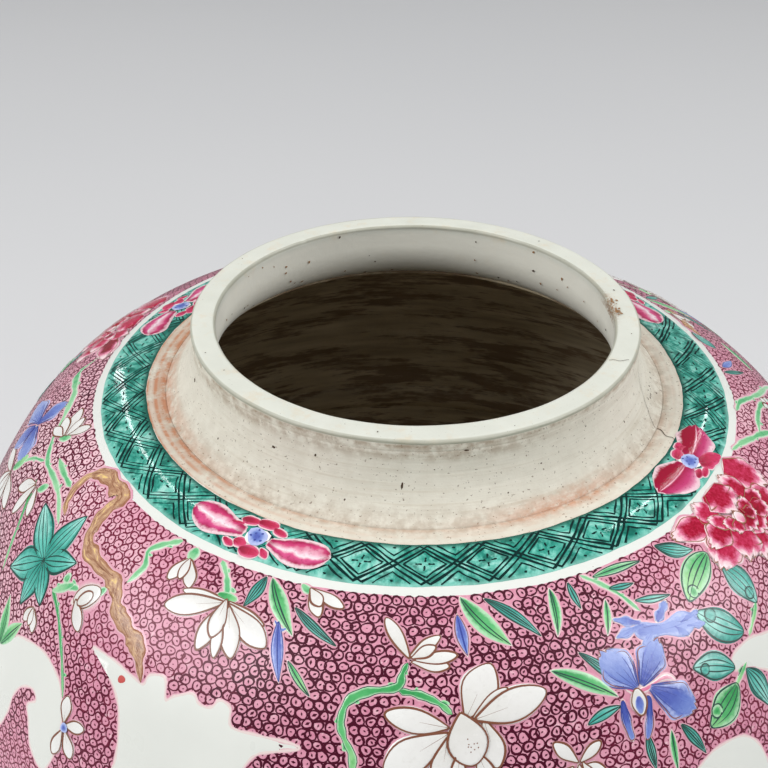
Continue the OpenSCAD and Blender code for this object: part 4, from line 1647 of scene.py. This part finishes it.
def shoulder_skin(clay, glaze, wash):
    """The thrown upper half: bare ledge, painted wall and washed inside."""
    ledge = [(COLLAR_BASE_R, LEDGE_Z - SEAT_H), (COLLAR_BASE_R, LEDGE_Z)]
    ledge += [(r, LEDGE_Z) for r in np.linspace(COLLAR_BASE_R, LEDGE_R, 9)[1:]]
    bare_s = np.linspace(LEDGE_OUT_S, 0, 6)[1:]
    glazed_s = np.concatenate([np.linspace(0.35, 18, 26), np.linspace(18, S_WAIST, 108)[1:]])
    wall_s = np.concatenate([bare_s, glazed_s])
    radius, z, _ = outline(wall_s)
    inner = [(BELLY_R - WALL, BELLY_Z)]
    inner += arc((BELLY_CENTRE_R, BELLY_Z), BELLY_CURVE - WALL, 90, math.degrees(SHOULDER_TURN), 26)[1:]
    inner += arc((LEDGE_R, SHOULDER_Z), SHOULDER_CURVE - WALL, math.degrees(SHOULDER_TURN), 0, 20)[1:]
    inner += [(THROAT_R, LEDGE_Z - SEAT_H - RIM_H), (THROAT_R, LEDGE_Z - SEAT_H)]
    profile = [*ledge, *zip(radius, z), *inner]
    first, rows = len(ledge), len(profile)
    bare = first + len(bare_s)
    kinds = [0] * (bare - 1) + [1] * len(glazed_s) + [2] * (rows - bare + 1 - len(glazed_s))
    row = np.arange(rows)[:, None]

    def relief(azimuth, r, z):
        out, up = wall_relief(azimuth, rows, first, wall_s)
        a = np.radians(azimuth)
        on_ledge = (row < bare) & (z > LEDGE_Z - 0.3)
        turned = 0.05 * np.sin(r * 4.2 + 0.4 * np.sin(2 * a)) + 0.04 * np.sin(6 * a)
        in_wall = (row >= first + len(wall_s)) & (row < rows - 2)
        throw = 0.5 * np.sin(z / 4.1 + np.sin(a)) * in_wall
        return out - throw, up + np.where(on_ledge, turned, 0)

    def paint(azimuth, r, z):
        top = z > LEDGE_Z - 1
        left = bump_at(azimuth, -80, 34)
        fold = notch(r, 77.6, 1.8) * top
        stain = fold * (0.1 + 0.45 * left + 0.6 * bump_at(azimuth, 34, 16))
        stain = stain + top * (0.06 + 0.3 * bump_at(azimuth, -84, 36))
        lines = notch(r, 77.7, 0.4) + 0.9 * notch(r, 80.3, 0.45) + notch(r, 82.9, 0.35)
        stain = stain + 1.3 * lines * top * (0.12 + 0.88 * bump_at(azimuth, -80, 40))
        return azimuth / 360, z / LIP_Z, 0.5 * fold + 0.15 * top, np.clip(stain, 0, 1)

    round_skin("shoulder_skin", profile, 480, [clay, glaze, wash], kinds, "upper_body",
               relief, paint)


def flank_skin(glaze, wash):
    """The thrown lower half: painted wall and washed inside."""
    wall_s = np.linspace(S_WAIST, S_FOOT, 130)
    radius, z, _ = outline(wall_s)
    flank_centre = (BELLY_R - FLANK_CURVE, BELLY_Z)
    end = 90 + math.degrees(math.asin((BELLY_Z - PLATE_TOP) / (FLANK_CURVE - WALL)))
    inner = [(PLATE_R, FOOT_H), (PLATE_R, PLATE_TOP)]
    inner += arc(flank_centre, FLANK_CURVE - WALL, end, 90, 44)
    profile = [*zip(radius, z), *inner]
    kinds = [0] * (len(wall_s) - 1) + [1] * (len(inner) + 1)

    def relief(azimuth, r, z):
        out, up = wall_relief(azimuth, len(profile), 0, wall_s)
        above_foot = np.zeros((len(profile), 1))
        above_foot[:len(wall_s), 0] = S_FOOT - wall_s
        return out, up * np.clip(above_foot / 10, 0, 1)

    round_skin("flank_skin", profile, 480, [glaze, wash], kinds, "lower_body", relief)


def foot_skin(clay):
    """The turned foot ring, worn dark where it stands."""
    inside = FOOT_R - FOOT_W
    rest_in, rest_out = inside + FOOT_LEAN + FOOT_BEVEL, FOOT_R - FOOT_BEVEL
    profile = [(inside, FOOT_H), (FOOT_R, FOOT_H)]
    profile += [(FOOT_R, z) for z in np.linspace(FOOT_H, FOOT_BEVEL, 9)[1:-1]]
    profile += arc((rest_out, FOOT_BEVEL), FOOT_BEVEL, 90, 180, 6)
    profile += [(r, 0.0) for r in np.linspace(rest_out, rest_in, 7)[1:-1]]
    profile += arc((rest_in, FOOT_BEVEL), FOOT_BEVEL, 180, 270, 6)
    profile += [(inside + FOOT_LEAN * (1 - t), FOOT_BEVEL + (FOOT_H - FOOT_BEVEL) * t) for t in (0.3, 0.6)]

    def relief(azimuth, r, z):
        a = np.radians(azimuth)
        free = np.clip((FOOT_H - z) / 4, 0, 1) * np.clip(z / 2, 0, 1)
        return free * (0.15 * np.sin(3 * a) + 0.08 * np.sin(8 * a + z)), 0 * r

    def paint(azimuth, r, z):
        grime = 0.2 + 0.6 * np.clip(1 - z / 3, 0, 1)
        return azimuth / 360, 0.5, grime, 0.5 * np.clip((z - 9) / 5, 0, 1)

    kinds = [0] * len(profile)
    round_skin("foot_skin", profile, 360, [clay], kinds, "foot_ring", relief, paint)


def base_skin(glaze):
    """The base plate, whose faces are slightly dished and closed at their middles."""
    rows, columns, sag = 14, 180, 0.5
    share = np.linspace(1, 0, rows, endpoint=False)[:, None]
    azimuth = np.linspace(0, 360, columns, endpoint=False)
    r = PLATE_R * share
    co = []
    for z, way in ((FOOT_H, 1), (PLATE_TOP, -1)):
        height = z + way * sag * (1 - share**2) + 0.06 * np.sin(r / 3)
        co.append(around(azimuth, r, height).reshape(-1, 3))
    co = np.vstack([*co, [[0, 0, FOOT_H + sag]], [[0, 0, PLATE_TOP - sag]]])
    upper, last = rows * columns, (rows - 1) * columns
    low_face = grid_faces(rows, columns, closed_columns=True)
    j = np.arange(columns)
    after = (j + 1) % columns
    side = np.stack([j, after, upper + after, upper + j], -1)
    low_fan = np.stack([last + after, last + j, np.full(columns, 2 * upper)], -1)
    high_fan = np.stack([upper + last + j, upper + last + after, np.full(columns, 2 * upper + 1)], -1)
    quads = np.vstack([low_face, low_face[:, ::-1] + upper, side])
    piece = make_object("base_skin", co, [quads, low_fan, high_fan], [glaze])
    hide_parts("base_plate")


def seam_skin(slip):
    """The bead of slip inside the waist."""
    reach = math.degrees(math.asin(BEAD_HALF_H / BEAD_CURVE))
    centre = (BAND_R + BEAD_CURVE - BEAD_PROUD, BELLY_Z)
    profile = arc(centre, BEAD_CURVE, 270 - reach, 270 + reach, 15)

    def relief(azimuth, r, z):
        a = np.radians(azimuth)
        rise = 1 - ((z - BELLY_Z) / BEAD_HALF_H) ** 2
        return -rise * (0.25 * np.sin(9 * a) + 0.2 * np.sin(23 * a + 1)), 0 * rise

    kinds = [0] * len(profile)
    round_skin("seam_skin", profile, 360, [slip], kinds, "waist_seam", relief)


# ---------------------------------------------------------------- marks on the collar

def collar_point(azimuth, down, lift):
    """A point on the collar's outside, down mm below the lip, raised by lift."""
    azimuth, z = np.asarray(azimuth, float), LIP_Z - np.asarray(down, float)
    return around(azimuth, neck_radius(z) + neck_relief(azimuth, z) + lift, z)


def collar_spot(layer, azimuth, down, wide, tall, seed):
    """A pit or fleck on the collar, with a ragged edge."""
    x, y, faces = ragged_disc(14, (0.02, 0.7, 1.0), (0.2, 2, seed), (0.14, 5, 2 * seed))
    at = azimuth + np.degrees(x * wide / 2 / 70)
    layer.add(collar_point(at, down + y * tall / 2, 0.04), faces)


def bore_radius(z):
    """Inner radius of the collar at a height."""
    drop = np.clip(BORE_Z - z, 0, THROAT_H)
    return MOUTH_R + THROAT_CURVE - np.sqrt(THROAT_CURVE**2 - drop**2)


def bore_speck(layer, azimuth, down, size, seed):
    """An iron speck on the collar's inner wall."""
    x, y, faces = ragged_disc(9, (0.02, 1.0), (0.25, 2, seed), (0.15, 3, 2 * seed))
    z = LIP_Z - down - y * size / 2
    at = azimuth + np.degrees(x * size / 2 / 62)
    layer.add(around(at, bore_radius(z) - 0.26, z), faces, facing=-1)


def lip_spot(layer, azimuth, radius, size, lift=0.14):
    """A small ragged pit on the lip's flat top."""
    x, y, faces = ragged_disc(10, (0.02, 1.0), (0.25, 2, azimuth), (0.12, 5, 0))
    offset = np.stack([x * size / 2, y * size / 2, 0 * x], -1)
    layer.add(around(azimuth, radius, LIP_Z + lift) + offset, faces)


def surface_line(layer, co, widths, normal=(0.0, 0.0, 1.0)):
    """A thin dark line through points in space, lying across the given normal."""
    side = np.cross(np.gradient(co, axis=0), normal)
    side = side / np.maximum(np.linalg.norm(side, axis=1, keepdims=True), 1e-9)
    wide = np.linspace(*widths, len(co))[:, None] / 2 * side
    layer.add(np.stack([co - wide, co + wide], 1), grid_faces(len(co), 2))


# Pits and flecks on the collar: azimuth, distance below the lip, width and height
PITS = [
    (-69, 10.7, 1.3, 1.0), (-33, 10.4, 1.0, 0.8), (-2, 13.2, 0.55, 1.9), (-22, 8.6, 0.7, 0.7),
    (12, 3.6, 1.6, 0.4), (-50, 16.4, 0.5, 0.5), (30, 12.1, 0.5, 0.4), (44, 7.4, 0.4, 0.5),
    (-14, 17.8, 0.5, 0.4), (59, 14.4, 0.5, 0.6), (-84, 6.6, 0.6, 0.5), (5, 8.9, 0.35, 0.35),
    (21, 16.9, 0.45, 0.35), (-58, 5.2, 0.35, 0.4), (160, 9.0, 0.8, 0.7), (205, 13.0, 0.6, 0.8),
]
# The crack down the collar: azimuth and distance below the lip
CRACK = [
    (76.6, 9.6), (75.6, 12.4), (74.4, 14.8), (73.4, 16.4), (72.4, 17.6), (71.6, 18.8), (70.4, 19.8),
    (69.2, 20.8), (68.2, 21.8),
]
# Pits on the lip: azimuth, radius and size
LIP_PITS = [
    (-8, 65, 0.5), (-66, 65.6, 0.45), (-56, 64.2, 0.4), (24, 66, 0.3), (80, 65.2, 0.4),
    (140, 64.6, 0.5), (-120, 65.8, 0.4), (104, 64.4, 0.6),
]


def collar_cracks(marks):
    """The crack down the collar and over the ledge, and the hairline over the lip."""
    co = collar_point(*smooth_path(CRACK, 4), 0.05)
    surface_line(marks, co, (0.16, 0.3), co * [1, 1, 0])
    t = np.linspace(0, 1, 14)
    on_ledge = around(68.2 - 2.6 * t + 0.4 * np.sin(9 * t), COLLAR_BASE_R + 0.2 + 6.2 * t, LEDGE_Z + 0.14)
    surface_line(marks, on_ledge, (0.3, 0.16))
    on_lip = around(64.5 + 2.2 * t + 0.3 * np.sin(8 * t), MOUTH_R + 1.2 + 5.0 * t, LIP_Z + 0.13)
    surface_line(marks, on_lip, (0.16, 0.16))


def collar_marks(painting):
    """Pits, flecks and cracks of the collar, and the chips in its lip."""
    marks, r = painting.layer("marks"), painting.random
    for k, pit in enumerate(PITS):
        collar_spot(marks, *pit, k * 1.3)
    collar_cracks(marks)
    for k in range(38):
        azimuth, down, size = 180 + r.uniform(-85, 85), r.uniform(2.0, 20.0), r.uniform(0.35, 0.95)
        bore_speck(painting.layer("chips") if k % 3 else marks, azimuth, down, size, k * 1.7)
    for k in range(14):
        azimuth, down, size = r.gauss(80, 3.0), r.gauss(18.4, 1.2), r.uniform(0.25, 0.6)
        collar_spot(marks, azimuth, down, size, size, k * 2.1)
    for pit in LIP_PITS:
        lip_spot(marks, *pit)
    for centre in (92.0,) * 9 + (98.5,) * 8:
        azimuth, radius = r.gauss(centre, 1.1), MOUTH_R + 0.9 + abs(r.gauss(0, 0.9))
        lift, size = r.uniform(0.13, 0.24), r.uniform(0.4, 1.1)
        lip_spot(painting.layer("chips"), azimuth, radius, size, lift)


# ---------------------------------------------------------------- the whole jar

def plain_material(name, colour, roughness=0.3, specular=0.5):
    """One even colour, for fine drawn lines."""
    n = Nodes(name, roughness, specular)
    n.shader.inputs["Base Color"].default_value = srgb(*colour)
    return n.material


def paint_materials():
    """Every paint by name, with the order in which the pieces are made."""
    return {
        "halo": wash_material(),
        "reserve": reserve_material(),
        "ground": ground_material(),
        "border_green": border_material(),
        "branch": branch_material(),
        "light_green": enamel_material("light_green", (134, 200, 146), (88, 178, 118), (156, 212, 162),
                                       (196, 226, 196)),
        "green": enamel_material("leaf_green", (54, 152, 84), (90, 184, 112), (156, 212, 146),
                                 (176, 222, 180)),
        "teal": enamel_material("leaf_teal", (54, 158, 144), (92, 184, 170), (152, 214, 202),
                                (60, 142, 130), (168, 216, 206)),
        "deep_teal": enamel_material("deep_teal", (44, 152, 136), (104, 198, 182), (166, 226, 214),
                                     (48, 148, 132), (40, 140, 124)),
        "blue": enamel_material("iris_blue", (78, 94, 178), (110, 132, 202), (138, 156, 214),
                                (178, 190, 232), (78, 98, 188)),
        "white": enamel_material("white_enamel", (222, 220, 214), (229, 227, 223), (235, 234, 230),
                                 roughness=0.25),
        "ruby": enamel_material("ruby", (150, 10, 52), (186, 28, 72), (206, 52, 98),
                                (216, 84, 126), (150, 16, 56)),
        "border_petal": border_petal_material("border_petal", [
            (0.06, (158, 22, 70)), (0.26, (206, 66, 118)), (0.47, (240, 196, 210)),
            (0.56, (246, 226, 230)), (0.7, (216, 84, 138)), (0.95, (166, 24, 78)),
        ], 0.45),
        "split_petal": border_petal_material("split_petal", [
            (0.08, (150, 12, 46)), (0.47, (158, 14, 50)), (0.5, (236, 176, 196)),
            (0.53, (168, 24, 70)), (0.76, (196, 66, 118)), (0.97, (232, 158, 188)),
        ], 0.05),
        "white_halo": white_halo_material(),
        "peony": peony_material(),
        "pale_pink": enamel_material("pale_pink", (222, 110, 148), (240, 186, 200), (249, 232, 232),
                                     (250, 240, 238)),
        "leaf_ink": plain_material("leaf_ink", (22, 66, 58)),
        "border_ink": plain_material("border_ink", (8, 42, 40), 0.5, 0.1),
        "brown_ink": plain_material("brown_ink", (124, 74, 52), 0.4),
        "gold_ink": plain_material("gold_ink", (150, 96, 66), 0.4),
        "rose_ink": plain_material("rose_ink", (140, 88, 84), 0.4),
        "blue_ink": plain_material("blue_ink", (44, 62, 148), 0.3),
        "white_ink": plain_material("white_ink", (246, 240, 238), 0.3),
        "red_touch": plain_material("red_touch", (198, 82, 76), 0.3),
        "chips": plain_material("chipped_glaze", (150, 112, 76), 0.6, 0.2),
        "marks": plain_material("fired_marks", (72, 54, 40), 0.7, 0.2),
    }


RING_TONES = ((114, 30, 56), (94, 16, 44), (72, 4, 32))


def copy_groups(painting):
    """The parts of the painting that the photograph doesn't show, in the same hand."""
    back = [
        (hanging_buds, (128, 29), 0, True, 1.0), (peony, (152, 31), 0, False, 1.0),
        (hanging_leaves, (178, 27), 0, True, 1.0), (curled_leaves, (201, 47), 4, True, 0.95),
        (gilt_branch, (222, 50), 0, False, 0.95), (peony, (251, 29), -4, True, 1.0),
        (curled_leaves, (257, 56), 0, False, 0.8), (iris, (116, 62), -6, False, 0.95),
        (great_magnolia, (140, 76), 10, True, 0.95), (palmate_leaf, (172, 74), 0, True, 0.9),
    ]
    for group, *place in back:
        group(Pen(painting, GROUPS[group], *place))
    for name, source, target in (("crest", (-26, 78), (206, 92)), ("cloud", (31, 88), (118, 104)),
                                 ("hook", (-49, 80), (236, 96))):
        reserve(Pen(painting, source, target, 0, True), name)
    r = random.Random(5)
    groups = list(GROUPS)
    for row, (s, scale) in enumerate(((124, 1.12), (172, 1.25), (224, 1.25), (272, 1.15), (312, 0.9))):
        count = int(2 * math.pi * float(radius_at(s)) / (66 * scale))
        for k in range(count):
            azimuth = (k + 0.5 * (row % 2)) * 360 / count + r.uniform(-2.5, 2.5)
            group = groups[(3 * k + 2 * row) % len(groups)]
            turn = r.uniform(-40, 40)
            target = (azimuth, s + r.uniform(-6, 6))
            group(Pen(painting, GROUPS[group], target, turn, k % 2 == 1, scale))


def paint_jar():
    """Lays every coat of paint on the jar and makes one piece of each."""
    painting = Painting(7)
    round_band(painting, "ground", GROUND_TOP, GROUND_END, GROUND_H, 215, 420, 0.12, 0.4)
    round_band(painting, "border_green", 0.0, BORDER_DEPTH, 0.10, 22, 720, 0.10, 1.3)
    trellis(painting, 0.0, BORDER_DEPTH, FLOWER_AT)
    foot_border_end = FOOT_BORDER_TOP + BORDER_DEPTH
    round_band(painting, "border_green", FOOT_BORDER_TOP, foot_border_end, 0.10, 22, 720, 0.10, 2.3)
    trellis(painting, FOOT_BORDER_TOP, BORDER_DEPTH, FLOWER_AT)
    for name in RESERVES:
        reserve(Pen(painting), name)
    painting.dot("red_touch", (-34, 55.2), 1.1, 0.19)
    for group in GROUPS:
        group(Pen(painting))
    copy_groups(painting)
    collar_marks(painting)
    rings = draw_rings(painting)
    materials = paint_materials()
    ring_materials = [
        plain_material(f"ring_line_{k}", tone, 0.35, 0.25) for k, tone in enumerate(RING_TONES)
    ]
    for name, layer in painting.layers.items():
        material = ring_materials[rings[name]] if name in rings else materials[name]
        slot = "collar_porcelain" if name in ("marks", "chips") else "painted_glaze"
        layer.build(f"paint_{name}", material, slot)


def build_skins():
    """Makes the visible skin of every thrown piece."""
    clay, glaze, lip, wash = clay_material(), glaze_material(), lip_material(), inside_material()
    collar_skin(clay, lip)
    shoulder_skin(clay, glaze, wash)
    flank_skin(glaze, wash)
    foot_skin(clay)
    base_skin(glaze)
    seam_skin(wash)


# ---------------------------------------------------------------- studio

def floor_material():
    """The plain surface that the jar stands on."""
    n = Nodes("studio_floor", 0.9, 0.1)
    return n.finish(n.mix(n.noise(900, 2), (222, 221, 221), (215, 215, 216)))


def build_floor():
    """A broad pale floor, a little below the foot's resting face."""
    half, steps = 40000.0, 16
    line = np.linspace(-half, half, steps)
    x, y = np.meshgrid(line, line, indexing="ij")
    co = np.stack([x, y, np.full_like(x, -0.2)], -1).reshape(-1, 3)
    floor = make_object("floor", co, [grid_faces(steps, steps)], [floor_material()])
    floor.parent = None
    del floor["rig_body"]


def area_light(name, place, aim, size, energy):
    """A white rectangular light that points at a spot."""
    data = bpy.data.lights.new(name, "AREA")
    data.shape = "RECTANGLE"
    data.size, data.size_y = size
    data.energy = energy
    light = bpy.data.objects.new(name, data)
    light.location = place
    light.rotation_euler = (Vector(aim) - Vector(place)).to_track_quat("-Z", "Y").to_euler()
    bpy.context.scene.collection.objects.link(light)


def build_studio():
    """The floor, the backdrop and the lights."""
    build_floor()
    aim = (0, 0, 0.3)
    area_light("left", (-1.9, -0.9, 2.0), aim, (1.5, 1.5), 49)
    area_light("overhead", (0.1, 0.2, 2.8), aim, (2.4, 2.4), 12)
    area_light("right", (2.0, -0.4, 1.7), aim, (1.4, 1.4), 34)
    area_light("left_strip", (-1.34, 2.4, 2.35), aim, (0.06, 1.8), 3.6)
    area_light("right_strip", (1.37, 2.4, 2.6), aim, (0.06, 1.4), 3)
    world = bpy.data.worlds.new("studio")
    world.use_nodes = True
    background = world.node_tree.nodes["Background"]
    background.inputs["Color"].default_value = (0.9, 0.93, 0.96, 1)
    background.inputs["Strength"].default_value = 0.34
    bpy.context.scene.world = world
    bpy.context.scene.view_settings.view_transform = "Standard"


def build_camera():
    """The photographer's place: close in front of the jar, looking down over the collar."""
    data = bpy.data.cameras.new("view")
    data.lens, data.sensor_width = 56.71, 36.0
    data.clip_end = 50
    camera = bpy.data.objects.new("view", data)
    eye = Vector((0.0, -322.05, LIP_Z + 181.46)) * MM
    forward = Vector((-0.02422, 0.83963, -0.54262))
    up = Vector((-0.01969, 0.54228, 0.83997))
    right = forward.cross(up).normalized()
    up = right.cross(forward).normalized()
    turn = [[right[i], up[i], -forward[i]] for i in range(3)]
    camera.matrix_world = Matrix(turn).to_4x4()
    camera.location = eye
    bpy.context.scene.collection.objects.link(camera)
    bpy.context.scene.camera = camera


build_skins()
paint_jar()
build_studio()
build_camera()
